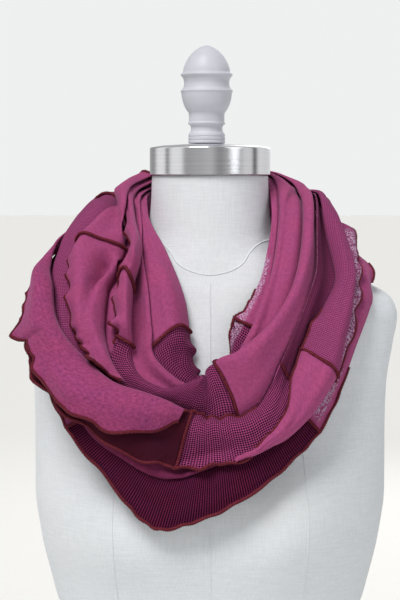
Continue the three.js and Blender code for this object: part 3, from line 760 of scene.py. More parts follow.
class Laid:
    """How high what is already laid stands over the carrying surface."""

    COLUMNS, ROWS, LOW, HIGH, PAD, SOFTEN = 640, 300, -0.14, 1.16, 4, 3

    def __init__(self):
        self.height = np.zeros((self.COLUMNS, self.ROWS))

    def column(self, u):
        return (u % ROUND) / ROUND * self.COLUMNS

    def row(self, t):
        return (t - self.LOW) / (self.HIGH - self.LOW) * (self.ROWS - 1)

    def widened(self):
        """The heights widened, then evened over a smaller reach, so no layer is cut into."""
        wide = self.height
        for axis, closed in ((0, True), (1, False)):
            wide = self.gather(wide, axis, closed, self.PAD, np.maximum.reduce)
        for axis, closed in ((0, True), (1, False)):
            wide = self.gather(wide, axis, closed, self.SOFTEN, lambda s: np.mean(s, axis=0))
        return wide

    @staticmethod
    def gather(field, axis, closed, reach, join):
        mode = "wrap" if closed else "edge"
        pad = [(0, 0), (0, 0)]
        pad[axis] = (reach, reach)
        padded = np.pad(field, pad, mode=mode)
        size = field.shape[axis]
        slices = [np.take(padded, range(k, k + size), axis=axis) for k in range(2 * reach + 1)]
        return join(slices)

    def sample(self, field, u, t):
        c = self.column(u)
        r = np.clip(self.row(t), 0, self.ROWS - 1.001)
        c0, r0 = np.floor(c).astype(int), np.floor(r).astype(int)
        fc, fr = c - c0, r - r0
        c1 = (c0 + 1) % self.COLUMNS
        c0 = c0 % self.COLUMNS
        low = field[c0, r0] * (1 - fr) + field[c0, r0 + 1] * fr
        high = field[c1, r0] * (1 - fr) + field[c1, r0 + 1] * fr
        return low * (1 - fc) + high * fc

    def cover(self, u, t, top, is_open):
        """Raises the heights to a fold's outer face."""
        if not is_open:
            u = np.vstack([u, u[:1] + ROUND])
            t = np.vstack([t, t[:1]])
            top = np.vstack([top, top[:1]])
        u, t, top = (finer(finer(a, 5, 0), 8, 1) for a in (u, t, top))
        c = np.round(self.column(u)).astype(int) % self.COLUMNS
        r = np.clip(np.round(self.row(t)), 0, self.ROWS - 1).astype(int)
        np.maximum.at(self.height, (c, r), top)


def finer(field, times, axis):
    """The field with times as many steps along an axis, in straight lines between its values."""
    n = field.shape[axis]
    place = np.arange((n - 1) * times + 1) / times
    i = np.minimum(place.astype(int), n - 2)
    f = place - i
    shape = [1, 1]
    shape[axis] = len(place)
    f = f.reshape(shape)
    return np.take(field, i, axis) * (1 - f) + np.take(field, i + 1, axis) * f


def columns_of(fold, spacing):
    """Where a fold's mesh columns lie, how they lean and bow, and the span of each panel."""
    panels = fold["panels"]
    is_open = fold.get("open", False)
    from_, to = (track(fold["rows"], k, is_open) for k in (1, 2))
    u, lean, bow, spans = [], [], [], []
    for k, (_, _, start, first_lean, first_bow) in enumerate(panels):
        last = is_open and k == len(panels) - 1
        end, end_lean, end_bow = panels[(k + 1) % len(panels)][2:]
        if last:
            end, end_lean, end_bow = fold["rows"][-1][0], 0, 0
        end += 0 if end > start else ROUND
        fine = np.linspace(start, end, 200)
        points = carrier(fine, (from_(fine) + to(fine)) / 2)
        steps = np.linalg.norm(np.diff(points, axis=0), axis=1)
        long = np.concatenate([[0], np.cumsum(steps)])
        count = max(6, int(round(long[-1] / spacing)))
        share = np.interp(np.linspace(0, long[-1], count + 1), long, fine)
        spans.append((len(u), count))
        keep = share if last else share[:-1]
        f = (keep - start) / (end - start)
        u.extend(keep)
        lean.extend(first_lean * (1 - f) ** 2 + end_lean * f**2)
        bow.extend(first_bow * (1 - f) ** 3 + end_bow * f**3)
    return np.array(u), np.array(lean), np.array(bow), spans


def arch(v, fold):
    """Height across a fold: 0 at both edges and 1 at the crest."""
    inside = v < fold["crest"]
    s = np.where(inside, v / fold["crest"], (1 - v) / (1 - fold["crest"]))
    power = np.where(inside, fold["inner"], fold["outer"])
    return np.power(np.clip(s * (2 - s), 0, 1), power)


def ruffle(fold, u, v, width, lettuce):
    """How far a hem's waves move a point outwards and sideways."""
    out, sway = np.zeros_like(u), np.zeros_like(u)
    for edge, start, end, waves, outward, sideways, deep in fold["hems"]:
        along = ((u - start) % ROUND) / (end - start)
        inside = (1 - v if edge == "to" else v) * width
        reach = np.clip(1 - inside / deep, 0, 1)
        fade = np.clip(np.minimum(along * 8, (1 - along) * 8), 0, 1) * reach**2
        turn = 2 * np.pi * waves * (along + 0.03 * np.sin(9 * along) + 0.008 * np.sin(31 * along))
        fade = fade * (0.75 + 0.35 * np.sin(13 * along + start))
        out += outward * fade * (1 + np.sin(turn))
        sway += sideways * fade * np.sin(turn + 1.2)
    for edge, start, end in fold["serged"]:
        along = (u - start) % ROUND
        span = end - start
        inside = (1 - v if edge == "to" else v) * width
        near = np.clip(1 - inside / 5, 0, 1) ** 2
        fade = np.clip(np.minimum(along * 4, (span - along) * 4), 0, 1) * near
        if span >= ROUND:
            fade = near
        quick = 2 * np.pi * (u * 2.6 + 0.12 * np.sin(u * 5) + 0.06 * np.sin(u * 11))
        out += lettuce * fade * (1 + np.sin(quick))
        sway += 0.5 * lettuce * fade * np.cos(quick)
    return out, sway


def ripples(fold, u, v, width, height):
    """Small uneven ripples along a fold, and the soft creases listed for it."""
    seed = 1 + sum(map(ord, fold["name"]))
    phase = [math.sin(seed * k) * 3 for k in (1.3, 2.1, 3.7, 5.9)]
    lengthwise = np.sin(2 * np.pi * (v * 1.6 + 0.11 * np.sin(u * 0.9 + phase[0]) + phase[1]))
    weaker = np.sin(2 * np.pi * (v * 2.7 + 0.2 * np.sin(u * 1.7 + phase[2])) + u * 0.8)
    swell = 0.5 + 0.5 * np.sin(u * 1.1 + phase[3])
    moved = height * (lengthwise * swell + 0.6 * weaker * (1 - 0.6 * swell))
    for at, long, place, drift, deep, wide in fold["creases"]:
        away = (u - at + ROUND / 2) % ROUND - ROUND / 2
        over = (v - place - drift * away) * width / wide
        moved += deep * np.exp(-((away / long) ** 2) - over**2)
    return moved * np.clip(np.minimum(v, 1 - v) * 6, 0, 1)


def pucker(u, spans, spacing, is_open):
    """The ditch beside each seam, on its lower side, and the slight rise on its upper side."""
    lift = np.zeros(len(u))
    column = np.arange(len(u))
    for first, _ in spans if len(spans) > 1 else []:
        away = column - first
        if not is_open:
            away = (away + len(u) // 2) % len(u) - len(u) // 2
        away = away * (1 if u[first] % ROUND > 8 else -1) * spacing
        lift -= np.where(away > 0, 1.7 * np.exp(-away / 4.5), 0)
        lift += np.where(away < 0, 0.8 * np.exp(away / 4), 0)
    return lift[:, None]


def settle(rest, base, passes, is_open):
    """Bridges what is under the cloth: each point rises to the mean of those round it."""
    for _ in range(passes):
        if is_open:
            left = np.vstack([rest[:1], rest[:-1]])
            right = np.vstack([rest[1:], rest[-1:]])
        else:
            left, right = np.roll(rest, 1, 0), np.roll(rest, -1, 0)
        low = np.hstack([rest[:, :1], rest[:, :-1]])
        high = np.hstack([rest[:, 1:], rest[:, -1:]])
        rest = np.maximum(base, (left + right + low + high) / 4)
    return rest


def face_normals(points, is_open):
    """The outward direction of the cloth at each point."""
    if is_open:
        run = np.gradient(points, axis=0)
    else:
        run = np.roll(points, -1, 0) - np.roll(points, 1, 0)
    across = np.gradient(points, axis=1)
    return unit(np.cross(across, run)), unit(run)


def lay_fold(fold, laid, cloth):
    """Lays one fold on what is there already and returns its grid of points."""
    is_open = fold.get("open", False)
    wall, clear = cloth.stack / MM, cloth.clear / MM
    middle, lean, bow, spans = columns_of(fold, cloth.spacing / MM)
    share = 0.5 * (1 - np.cos(np.pi * np.linspace(0, 1, cloth.across + 1)))
    share = 0.5 * share + 0.5 * np.linspace(0, 1, cloth.across + 1)
    v = np.broadcast_to(share, (len(middle), len(share)))
    u = middle[:, None] + lean[:, None] * (v - 0.5) + bow[:, None] * 4 * v * (1 - v)
    low, high, loft = (track(fold["rows"], k, is_open)(u) for k in (1, 2, 3))
    section = section_length(u)
    width = (high - low) * section
    out, sway = ruffle(fold, u, v, width, cloth.lettuce / MM)
    t = low + (high - low) * v + sway / section
    base = laid.sample(laid.widened(), u, t)
    rest = settle(base, base, fold["ease"], is_open)
    if "tuck" in fold:
        ends = np.minimum(middle - middle[0], middle[-1] - middle)[:, None] / fold["tuck"]
        rest = base + (rest - base) * np.clip(ends, 0, 1)
    soft = ripples(fold, u, v, width, cloth.ripple / MM)
    soft = soft + pucker(middle, spans, cloth.spacing / MM, is_open)
    over = rest + clear + wall / 2 + np.maximum(loft * arch(v, fold) + soft, 0) + out
    normal = carrier_normal(u, t)
    points = carrier(u, t) + normal * over[..., None]
    face, run = face_normals(points, is_open)
    square = np.maximum(0.4, np.sum(face * normal, axis=-1))
    free = middle <= middle[-1] - fold.get("joined", 0)
    laid.cover(u[free], t[free], (over + wall / 2 / square)[free], is_open)
    return {"u": u, "v": v, "points": points, "face": face, "run": run, "spans": spans}


def zone(fold, u, v):
    """1 where the heathered reverse faces out, softly bounded."""
    shown = np.zeros_like(u)
    for name, start, end, low, high in REVERSE:
        if name != fold["name"]:
            continue
        away = (u - (start + end) / 2 + ROUND / 2) % ROUND - ROUND / 2
        inside = np.clip(((end - start) / 2 - np.abs(away)) * 12, 0, 1)
        inside *= np.clip((v - low) * 20, 0, 1) * np.clip((high - v) * 20, 0, 1)
        shown = np.maximum(shown, inside)
    return shown


def flat_lengths(points):
    """Length along the middle row and across each column, as the cut panel has them."""
    middle = points[:, points.shape[1] // 2]
    along = np.concatenate([[0], np.cumsum(np.linalg.norm(np.diff(middle, axis=0), axis=1))])
    steps = np.linalg.norm(np.diff(points, axis=1), axis=2)
    across = np.concatenate([np.zeros((len(points), 1)), np.cumsum(steps, axis=1)], axis=1)
    return along, across


def panel_mesh(name, points, face, run, wall, speckle):
    """The closed wall of one panel, with its cloth map and its reverse marked."""
    n, m = points.shape[:2]
    shift = np.zeros((n, 1, 1))
    shift[0], shift[-1] = 0.05, -0.05
    middle = points + run * shift
    corners = np.concatenate([middle + face * wall / 2, middle - face * wall / 2]).reshape(-1, 3)
    at = np.arange(2 * n * m).reshape(2, n, m)
    o, i = at[0], at[1]
    quads = [
        np.stack([o[:-1, :-1], o[:-1, 1:], o[1:, 1:], o[1:, :-1]], -1).reshape(-1, 4),
        np.stack([i[:-1, :-1], i[1:, :-1], i[1:, 1:], i[:-1, 1:]], -1).reshape(-1, 4),
        np.stack([o[:-1, 0], o[1:, 0], i[1:, 0], i[:-1, 0]], -1),
        np.stack([o[:-1, -1], i[:-1, -1], i[1:, -1], o[1:, -1]], -1),
        np.stack([o[0, :-1], i[0, :-1], i[0, 1:], o[0, 1:]], -1),
        np.stack([o[-1, :-1], o[-1, 1:], i[-1, 1:], i[-1, :-1]], -1),
    ]
    mesh = bpy.data.meshes.new(name)
    mesh.from_pydata((corners * MM).tolist(), [], np.concatenate(quads).tolist())
    along, across = flat_lengths(points)
    flat = np.stack([np.broadcast_to(along[:, None], (n, m)), across], -1).reshape(-1, 2) * MM
    paint_map(mesh, np.concatenate([flat, flat]))
    reverse = np.concatenate([speckle.ravel(), 0.3 * np.ones(n * m) + 0.7 * speckle.ravel()])
    mesh.attributes.new("reverse", "FLOAT", "POINT").data.foreach_set(
        "value", reverse.astype(np.float32)
    )
    mesh.shade_smooth()
    steps = np.linalg.norm(np.diff(points, axis=0), axis=2).mean(axis=1).sum()
    return mesh, (float(across[:, -1].mean()) * MM, float(steps) * MM)


def paint_map(mesh, flat):
    layer = mesh.uv_layers.new(name="cloth")
    index = np.zeros(len(mesh.loops), int)
    mesh.loops.foreach_get("vertex_index", index)
    layer.data.foreach_set("uv", flat[index].ravel().astype(np.float32))


def add_object(name, mesh, *materials):
    piece = bpy.data.objects.new(name, mesh)
    bpy.context.scene.collection.objects.link(piece)
    for material in materials:
        mesh.materials.append(material)
    return piece


def edge_lines(fold, grid):
    """The lines that the serging follows: panel seams, and the stretches of hem it binds."""
    lines = []
    outer = grid["points"] + grid["face"] * 0.9
    is_open = fold.get("open", False)
    if len(fold["panels"]) > 1:
        for first, _ in grid["spans"]:
            lines.append(outer[first] + grid["face"][first] * 0.5)
    middle = grid["u"][:, 0 if is_open else grid["u"].shape[1] // 2]
    for edge, start, end in fold["serged"]:
        row = -1 if edge == "to" else 0
        along = (middle - start) % ROUND
        order = np.argsort(along)
        chosen = order[along[order] <= end - start]
        line = grid["points"][chosen, row] + grid["face"][chosen, row] * 0.6
        if end - start >= ROUND:
            line = np.vstack([line, line[:1]])
        lines.append(line)
    return [line for line in lines if len(line) > 3]


def lines_mesh(name, lines):
    """Edges only, one chain for each line."""
    corners, edges = [], []
    for line in lines:
        first = len(corners)
        corners.extend((np.asarray(line) * MM).tolist())
        edges.extend((k, k + 1) for k in range(first, len(corners) - 1))
    mesh = bpy.data.meshes.new(name)
    mesh.from_pydata(corners, edges, [])
    return mesh


class Tree:
    """A short way to add nodes and links to a node tree."""

    def __init__(self, tree):
        self.tree = tree

    def node(self, kind, inputs=None, **settings):
        made = self.tree.nodes.new(kind)
        for key, value in settings.items():
            setattr(made, key, value)
        for key, value in (inputs or {}).items():
            self.put(value, made.inputs[key])
        return made

    def put(self, value, socket):
        if isinstance(value, bpy.types.Node):
            value = next(s for s in value.outputs if s.enabled)
        if isinstance(value, bpy.types.NodeSocket):
            self.tree.links.new(value, socket)
        else:
            socket.default_value = value

    def math(self, operation, a, b=0.0, c=0.0, clamp=False):
        made = self.tree.nodes.new("ShaderNodeMath")
        made.operation = operation
        made.use_clamp = clamp
        for value, socket in zip((a, b, c), made.inputs):
            self.put(value, socket)
        return made.outputs[0]

    def mix(self, factor, a, b, blend="MIX"):
        made = self.tree.nodes.new("ShaderNodeMix")
        made.data_type = "RGBA"
        made.blend_type = blend
        self.put(factor, made.inputs[0])
        for value, socket in ((a, made.inputs[6]), (b, made.inputs[7])):
            self.put(rgba(value), socket)
        return made.outputs[2]

    def remap(self, value, low, high, to_low=0.0, to_high=1.0):
        made = self.node("ShaderNodeMapRange", {0: value, 1: low, 2: high, 3: to_low, 4: to_high})
        return made.outputs[0]


def rgba(value):
    if isinstance(value, (bpy.types.Node, bpy.types.NodeSocket)):
        return value
    return (*tuple(value)[:3], 1.0)


def socket(tree, name, kind, way="INPUT", value=None):
    made = tree.interface.new_socket(name=name, in_out=way, socket_type="NodeSocket" + kind)
    if value is not None:
        made.default_value = value
    return made.identifier


def serging_tree():
    """Geometry Nodes: a rolled edge along each chain of edges, bound by leaning turns of thread."""
    tree = bpy.data.node_groups.new("Serged edge", "GeometryNodeTree")
    tree.is_modifier = True
    ids = {"Geometry": socket(tree, "Geometry", "Geometry")}
    for name in ("Roll radius", "Thread radius", "Stitch pitch", "Stitch lean", "Unevenness"):
        ids[name] = socket(tree, name, "Float")
    ids["Seed"] = socket(tree, "Seed", "Int")
    ids["Material"] = socket(tree, "Material", "Material")
    socket(tree, "Geometry", "Geometry", "OUTPUT")
    t = Tree(tree)
    given = t.node("NodeGroupInput").outputs
    chain = t.node("GeometryNodeMeshToCurve", {"Mesh": given["Geometry"]})
    ring = t.node(
        "GeometryNodeCurvePrimitiveCircle", {"Resolution": 8, "Radius": given["Roll radius"]}
    )
    core = t.node(
        "GeometryNodeCurveToMesh",
        {"Curve": chain.outputs[0], "Profile Curve": ring.outputs[0], "Fill Caps": True},
    )
    strand = t.node(
        "GeometryNodeCurvePrimitiveCircle", {"Resolution": 3, "Radius": given["Thread radius"]}
    )
    turn_radius = t.math("MULTIPLY", given["Roll radius"], 1.12)
    turn = t.node("GeometryNodeCurvePrimitiveCircle", {"Resolution": 7, "Radius": turn_radius})
    loop = t.node(
        "GeometryNodeCurveToMesh",
        {"Curve": turn.outputs[0], "Profile Curve": strand.outputs[0]},
    )
    points = t.node(
        "GeometryNodeResampleCurve",
        {"Curve": chain.outputs[0], "Length": given["Stitch pitch"]},
        mode="LENGTH",
    )
    tangent = t.node("GeometryNodeInputTangent")
    facing = t.node(
        "FunctionNodeAlignRotationToVector", {"Vector": tangent.outputs[0]}, axis="Z"
    )
    low = t.math("MULTIPLY", given["Unevenness"], -1.0)
    jitter = t.node(
        "FunctionNodeRandomValue",
        {2: low, 3: given["Unevenness"], "Seed": given["Seed"]},
        data_type="FLOAT",
    )
    lean = t.math("ADD", given["Stitch lean"], jitter.outputs[1])
    angles = t.node("ShaderNodeCombineXYZ", {"X": lean})
    leaned = t.node(
        "FunctionNodeRotateRotation",
        {"Rotation": facing.outputs[0], "Rotate By": t.node(
            "FunctionNodeEulerToRotation", {"Euler": angles.outputs[0]}
        ).outputs[0]},
        rotation_space="LOCAL",
    )
    turns = t.node(
        "GeometryNodeInstanceOnPoints",
        {"Points": points.outputs[0], "Instance": loop.outputs[0], "Rotation": leaned.outputs[0]},
    )
    joined = t.node("GeometryNodeJoinGeometry")
    for part in (turns, core):
        tree.links.new(part.outputs[0], joined.inputs[0])
    real = t.node("GeometryNodeRealizeInstances", {"Geometry": joined.outputs[0]})
    smooth = t.node("GeometryNodeSetShadeSmooth", {"Geometry": real.outputs[0]})
    worn = t.node(
        "GeometryNodeSetMaterial",
        {"Geometry": smooth.outputs[0], "Material": given["Material"]},
    )
    done = t.node("NodeGroupOutput")
    tree.links.new(worn.outputs[0], done.inputs[0])
    return tree, ids


def grown(name, mesh, tree, ids, values, material):
    """Runs a Geometry Nodes tree on a mesh and keeps the result as a plain mesh."""
    guide = add_object(name + "_guide", mesh)
    modifier = guide.modifiers.new("grow", "NODES")
    modifier.node_group = tree
    for key, value in values.items():
        modifier[ids[key]] = value
    modifier[ids["Material"]] = material
    bpy.context.view_layer.update()
    graph = bpy.context.evaluated_depsgraph_get()
    made = bpy.data.meshes.new_from_object(guide.evaluated_get(graph))
    made.name = name
    bpy.data.objects.remove(guide)
    piece = bpy.data.objects.new(name, made)
    bpy.context.scene.collection.objects.link(piece)
    if not made.materials:
        made.materials.append(material)
    return piece


def new_material(name):
    material = bpy.data.materials.new(name)
    material.use_nodes = True
    t = Tree(material.node_tree)
    shader = material.node_tree.nodes["Principled BSDF"]
    return material, t, shader


def knit_group():
    """Shader group: the loops of a knit as height and as a mask, on the cloth map."""
    tree = bpy.data.node_groups.new("Knit loops", "ShaderNodeTree")
    socket(tree, "Map", "Vector")
    socket(tree, "Wale pitch", "Float", value=1.0 * MM)
    socket(tree, "Course pitch", "Float", value=1.0 * MM)
    socket(tree, "Wale share", "Float", value=1.0)
    socket(tree, "Course share", "Float", value=1.0)
    socket(tree, "Unevenness", "Float", value=0.1)
    socket(tree, "Height", "Float", "OUTPUT")
    t = Tree(tree)
    given = t.node("NodeGroupInput").outputs
    wander = t.node("ShaderNodeTexNoise", {"Vector": given["Map"], "Scale": 260.0, "Detail": 2.0})
    split = t.node("ShaderNodeSeparateXYZ", {"Vector": given["Map"]})
    drift = t.math("MULTIPLY", t.math("SUBTRACT", wander.outputs[0], 0.5), given["Unevenness"])
    heights = []
    for axis, pitch, share in (("X", "Wale pitch", "Wale share"), ("Y", "Course pitch", "Course share")):
        turns = t.math("ADD", t.math("DIVIDE", split.outputs[axis], given[pitch]), drift)
        wave = t.math("COSINE", t.math("MULTIPLY", turns, 2 * math.pi))
        heights.append(t.math("MULTIPLY", t.remap(wave, -1.0, 1.0), given[share]))
    total = t.math("ADD", *heights)
    whole = t.math("ADD", given["Wale share"], given["Course share"])
    done = t.node("NodeGroupOutput")
    tree.links.new(t.math("DIVIDE", total, whole), done.inputs[0])
    return tree


def dye_group():
    """Shader group: a dyed colour that drifts towards a cooler one, with fine lint."""
    tree = bpy.data.node_groups.new("Uneven dye", "ShaderNodeTree")
    socket(tree, "Map", "Vector")
    socket(tree, "Colour", "Color")
    socket(tree, "Cooler colour", "Color")
    socket(tree, "Drift", "Float", value=0.5)
    socket(tree, "Lint", "Float", value=0.1)
    socket(tree, "Colour", "Color", "OUTPUT")
    t = Tree(tree)
    given = t.node("NodeGroupInput").outputs
    broad = t.node("ShaderNodeTexNoise", {"Vector": given["Map"], "Scale": 45.0, "Detail": 6.0})
    amount = t.math("MULTIPLY", t.remap(broad.outputs[0], 0.35, 0.7), given["Drift"])
    dyed = t.mix(amount, given["Colour"], given["Cooler colour"])
    fine = t.node(
        "ShaderNodeTexNoise",
        {"Vector": given["Map"], "Scale": 300.0, "Detail": 5.0, "Roughness": 0.8},
    )
    fleck = t.math("MULTIPLY", t.remap(fine.outputs[0], 0.35, 0.65, -1.0, 1.0), given["Lint"])
    bright = t.math("ADD", 1.0, fleck)
    done = t.node("NodeGroupOutput")
    scaled = t.node("ShaderNodeVectorMath", {0: dyed, 1: t.node(
        "ShaderNodeCombineXYZ", {"X": bright, "Y": bright, "Z": bright}
    ).outputs[0]}, operation="MULTIPLY")
    tree.links.new(scaled.outputs[0], done.inputs[0])
    return tree


def heather_group():
    """Shader group: pale flecks of the reverse over a dyed colour."""
    tree = bpy.data.node_groups.new("Heathered reverse", "ShaderNodeTree")
    socket(tree, "Map", "Vector")
    socket(tree, "Colour", "Color")
    socket(tree, "Fleck colour", "Color")
    socket(tree, "Shown", "Float")
    socket(tree, "Colour", "Color", "OUTPUT")
    t = Tree(tree)
    given = t.node("NodeGroupInput").outputs
    cells = t.node(
        "ShaderNodeTexVoronoi", {"Vector": given["Map"], "Scale": 1150.0, "Randomness": 1.0}
    )
    tone = t.node("ShaderNodeSeparateXYZ", {"Vector": cells.outputs["Color"]})
    pale = t.math("MULTIPLY", t.remap(tone.outputs[0], 0.5, 0.65), given["Shown"])
    mixed = t.mix(pale, given["Colour"], given["Fleck colour"])
    done = t.node("NodeGroupOutput")
    tree.links.new(mixed, done.inputs[0])
    return tree


# Each knit: its raised, its cooler and its sunken colour, the pitch of wales and courses and the
# share of each in the relief, the relief's depth, how much the sunken colour shows, how far the dye
# drifts, its lint and its sheen. The sunken colour is painted shade in the hollows of the relief.
# The shaded jersey, the shadow jersey and the shadow rib are jersey and rib with their colours
# darkened: painted shade for panels that lie in shadow.
CLOTHS = {
    "jersey": {
        "high": (0.37, 0.068, 0.18),
        "cool": (0.3, 0.068, 0.21),
        "low": (0.2, 0.03, 0.09),
        "pitch": (1.2, 1.0),
        "share": (1.0, 0.3),
        "look": (0.16, 0.3, 0.4, 0.2, 0.16),
    },
    # Jersey again with its colours darkened: painted shadow, for the band that lies under the front
    # fold's hem.
    "wine_jersey": {
        "high": (0.15, 0.021, 0.062),
        "cool": (0.12, 0.022, 0.075),
        "low": (0.1, 0.014, 0.045),
        "pitch": (1.2, 1.0),
        "share": (1.0, 0.3),
        "look": (0.16, 0.3, 0.4, 0.2, 0.06),
    },
    # Jersey again with its colours darkened to near black: painted shade, for a panel that lies in deep
    # shadow.
    "dark_jersey": {
        "high": (0.05, 0.0065, 0.015),
        "cool": (0.04, 0.008, 0.026),
        "low": (0.02, 0.003, 0.007),
        "pitch": (1.2, 1.0),
        "share": (1.0, 0.3),
        "look": (0.16, 0.3, 0.3, 0.12, 0.02),
    },
    "fleece": {
        "high": (0.3, 0.05, 0.142),
        "cool": (0.24, 0.046, 0.155),
        "low": (0.17, 0.025, 0.085),
        "pitch": (1.6, 1.6),
        "share": (0.5, 0.5),
        "look": (0.2, 0.0, 0.5, 0.32, 0.22),
    },
    "waffle": {
        "high": (0.37, 0.062, 0.19),
        "cool": (0.31, 0.062, 0.22),
        "low": (0.014, 0.0012, 0.006),
        "pitch": (2.0, 2.0),
        "share": (1.0, 1.0),
        "look": (0.7, 1.0, 0.2, 0.12, 0.06),
    },
    "ribbed": {
        "high": (0.125, 0.0125, 0.048),
        "cool": (0.095, 0.015, 0.075),
        "low": (0.012, 0.0012, 0.005),
        "pitch": (2.0, 2.1),
        "share": (1.0, 0.35),
        "look": (0.7, 1.0, 0.4, 0.12, 0.02),
    },
    # Rib again with its colours darkened: painted shade, for a panel that lies in a deep valley.
    "deep_rib": {
        "high": (0.2, 0.036, 0.1),
        "cool": (0.17, 0.036, 0.12),
        "low": (0.05, 0.006, 0.023),
        "pitch": (1.7, 1.9),
        "share": (0.9, 0.5),
        "look": (0.5, 0.8, 0.3, 0.1, 0.04),
    },
    "rib": {
        "high": (0.36, 0.07, 0.19),
        "cool": (0.3, 0.07, 0.22),
        "low": (0.1, 0.012, 0.05),
        "pitch": (1.7, 1.9),
        "share": (0.9, 0.5),
        "look": (0.5, 0.8, 0.3, 0.1, 0.08),
    },
}


def cloth_material(name, groups, colours):
    cloth = CLOTHS[name]
    depth, contrast, drift, lint, sheen = cloth["look"]
    material, t, shader = new_material(name.replace("_", " ").capitalize() + " knit")
    flat = t.node("ShaderNodeUVMap", uv_map="cloth")
    knit = t.node("ShaderNodeGroup", node_tree=groups["knit"])
    dyed = t.node("ShaderNodeGroup", node_tree=groups["dye"])
    heather = t.node("ShaderNodeGroup", node_tree=groups["heather"])
    for group in (knit, dyed, heather):
        t.put(flat.outputs[0], group.inputs["Map"])
    for k, way in enumerate(("Wale", "Course")):
        knit.inputs[way + " pitch"].default_value = cloth["pitch"][k] * MM
        knit.inputs[way + " share"].default_value = cloth["share"][k]
    dyed.inputs["Colour"].default_value = rgba(cloth["high"])
    dyed.inputs["Cooler colour"].default_value = rgba(cloth["cool"])
    dyed.inputs["Drift"].default_value = drift
    dyed.inputs["Lint"].default_value = lint
    # The sunken colour mixed into the knit's pits is painted shade in the hollows of the relief.
    pit_shade = t.remap(knit.outputs[0], 0.3, 0.75, contrast, 0.0)
    colour = t.mix(pit_shade, dyed.outputs[0], cloth["low"])
    reverse = t.node("ShaderNodeAttribute", attribute_name="reverse")
    t.put(colour, heather.inputs["Colour"])
    heather.inputs["Fleck colour"].default_value = rgba(colours.reverse_light)
    t.put(reverse.outputs["Fac"], heather.inputs["Shown"])
    t.put(heather.outputs[0], shader.inputs["Base Color"])
    bump = t.node(
        "ShaderNodeBump",
        {"Height": knit.outputs[0], "Distance": depth * MM, "Strength": 0.8},
    )
    t.put(bump.outputs[0], shader.inputs["Normal"])
    shader.inputs["Roughness"].default_value = 0.95
    shader.inputs["Specular IOR Level"].default_value = 0.05
    shader.inputs["Sheen Weight"].default_value = sheen
    shader.inputs["Sheen Roughness"].default_value = 0.45
    shader.inputs["Sheen Tint"].default_value = (0.95, 0.55, 0.85, 1)
    return material


def thread_material(colour):
    material, t, shader = new_material("Serging thread")
    place = t.node("ShaderNodeTexCoord")
    noise = t.node(
        "ShaderNodeTexNoise", {"Vector": place.outputs["Object"], "Scale": 900.0, "Detail": 2.0}
    )
    lighter = [min(1, c * 2 + 0.008) for c in colour]
    t.put(
        t.mix(t.remap(noise.outputs[0], 0.4, 0.75), colour, lighter), shader.inputs["Base Color"]
    )
    bump = t.node("ShaderNodeBump", {"Height": noise.outputs[0], "Distance": 0.2 * MM})
    t.put(bump.outputs[0], shader.inputs["Normal"])
    shader.inputs["Roughness"].default_value = 0.75
    shader.inputs["Specular IOR Level"].default_value = 0.2
    return material


def linen_material(colour):
    material, t, shader = new_material("Linen cover")
    place = t.node("ShaderNodeTexCoord").outputs["Object"]
    weave = []
    for stretch in ((900.0, 900.0, 60.0), (60.0, 60.0, 1100.0)):
        scaled = t.node("ShaderNodeMapping", {"Vector": place, "Scale": stretch})
        weave.append(
            t.node("ShaderNodeTexNoise", {"Vector": scaled.outputs[0], "Scale": 1.0, "Detail": 1.0})
        )
    threads = t.math("ADD", weave[0].outputs[0], weave[1].outputs[0])
    soil = t.node("ShaderNodeTexNoise", {"Vector": place, "Scale": 9.0, "Detail": 4.0})
    shade = t.mix(t.remap(threads, 0.7, 1.3), [c * 0.9 for c in colour], colour)
    warm = (colour[0] * 0.93, colour[1] * 0.9, colour[2] * 0.84)
    t.put(
        t.mix(t.remap(soil.outputs[0], 0.5, 0.75, 0.0, 0.35), shade, warm),
        shader.inputs["Base Color"],
    )
    bump = t.node("ShaderNodeBump", {"Height": threads, "Distance": 0.25 * MM, "Strength": 0.6})
    t.put(bump.outputs[0], shader.inputs["Normal"])
    shader.inputs["Roughness"].default_value = 0.85
    shader.inputs["Sheen Weight"].default_value = 0.1
    return material


def steel_material(colour):
    material, t, shader = new_material("Spun metal")
    place = t.node("ShaderNodeTexCoord").outputs["Object"]
    scaled = t.node("ShaderNodeMapping", {"Vector": place, "Scale": (12.0, 12.0, 1800.0)})
    lines = t.node("ShaderNodeTexNoise", {"Vector": scaled.outputs[0], "Scale": 1.0, "Detail": 2.0})
    t.put(
        t.mix(t.remap(lines.outputs[0], 0.35, 0.7), [c * 0.92 for c in colour], colour),
        shader.inputs["Base Color"],
    )
    t.put(t.remap(lines.outputs[0], 0.3, 0.7, 0.12, 0.2), shader.inputs["Roughness"])
    bump = t.node("ShaderNodeBump", {"Height": lines.outputs[0], "Distance": 0.02 * MM})
    t.put(bump.outputs[0], shader.inputs["Normal"])
    shader.inputs["Metallic"].default_value = 1.0
    return material


def paint_material(colour):
    material, t, shader = new_material("Satin paint")
    place = t.node("ShaderNodeTexCoord").outputs["Object"]
    coat = t.node("ShaderNodeTexNoise", {"Vector": place, "Scale": 60.0, "Detail": 4.0})
    t.put(
        t.mix(t.remap(coat.outputs[0], 0.35, 0.7), [c * 0.94 for c in colour], colour),
        shader.inputs["Base Color"],
    )
    t.put(t.remap(coat.outputs[0], 0.3, 0.7, 0.42, 0.55), shader.inputs["Roughness"])
    bump = t.node("ShaderNodeBump", {"Height": coat.outputs[0], "Distance": 0.15 * MM})
    t.put(bump.outputs[0], shader.inputs["Normal"])
    return material


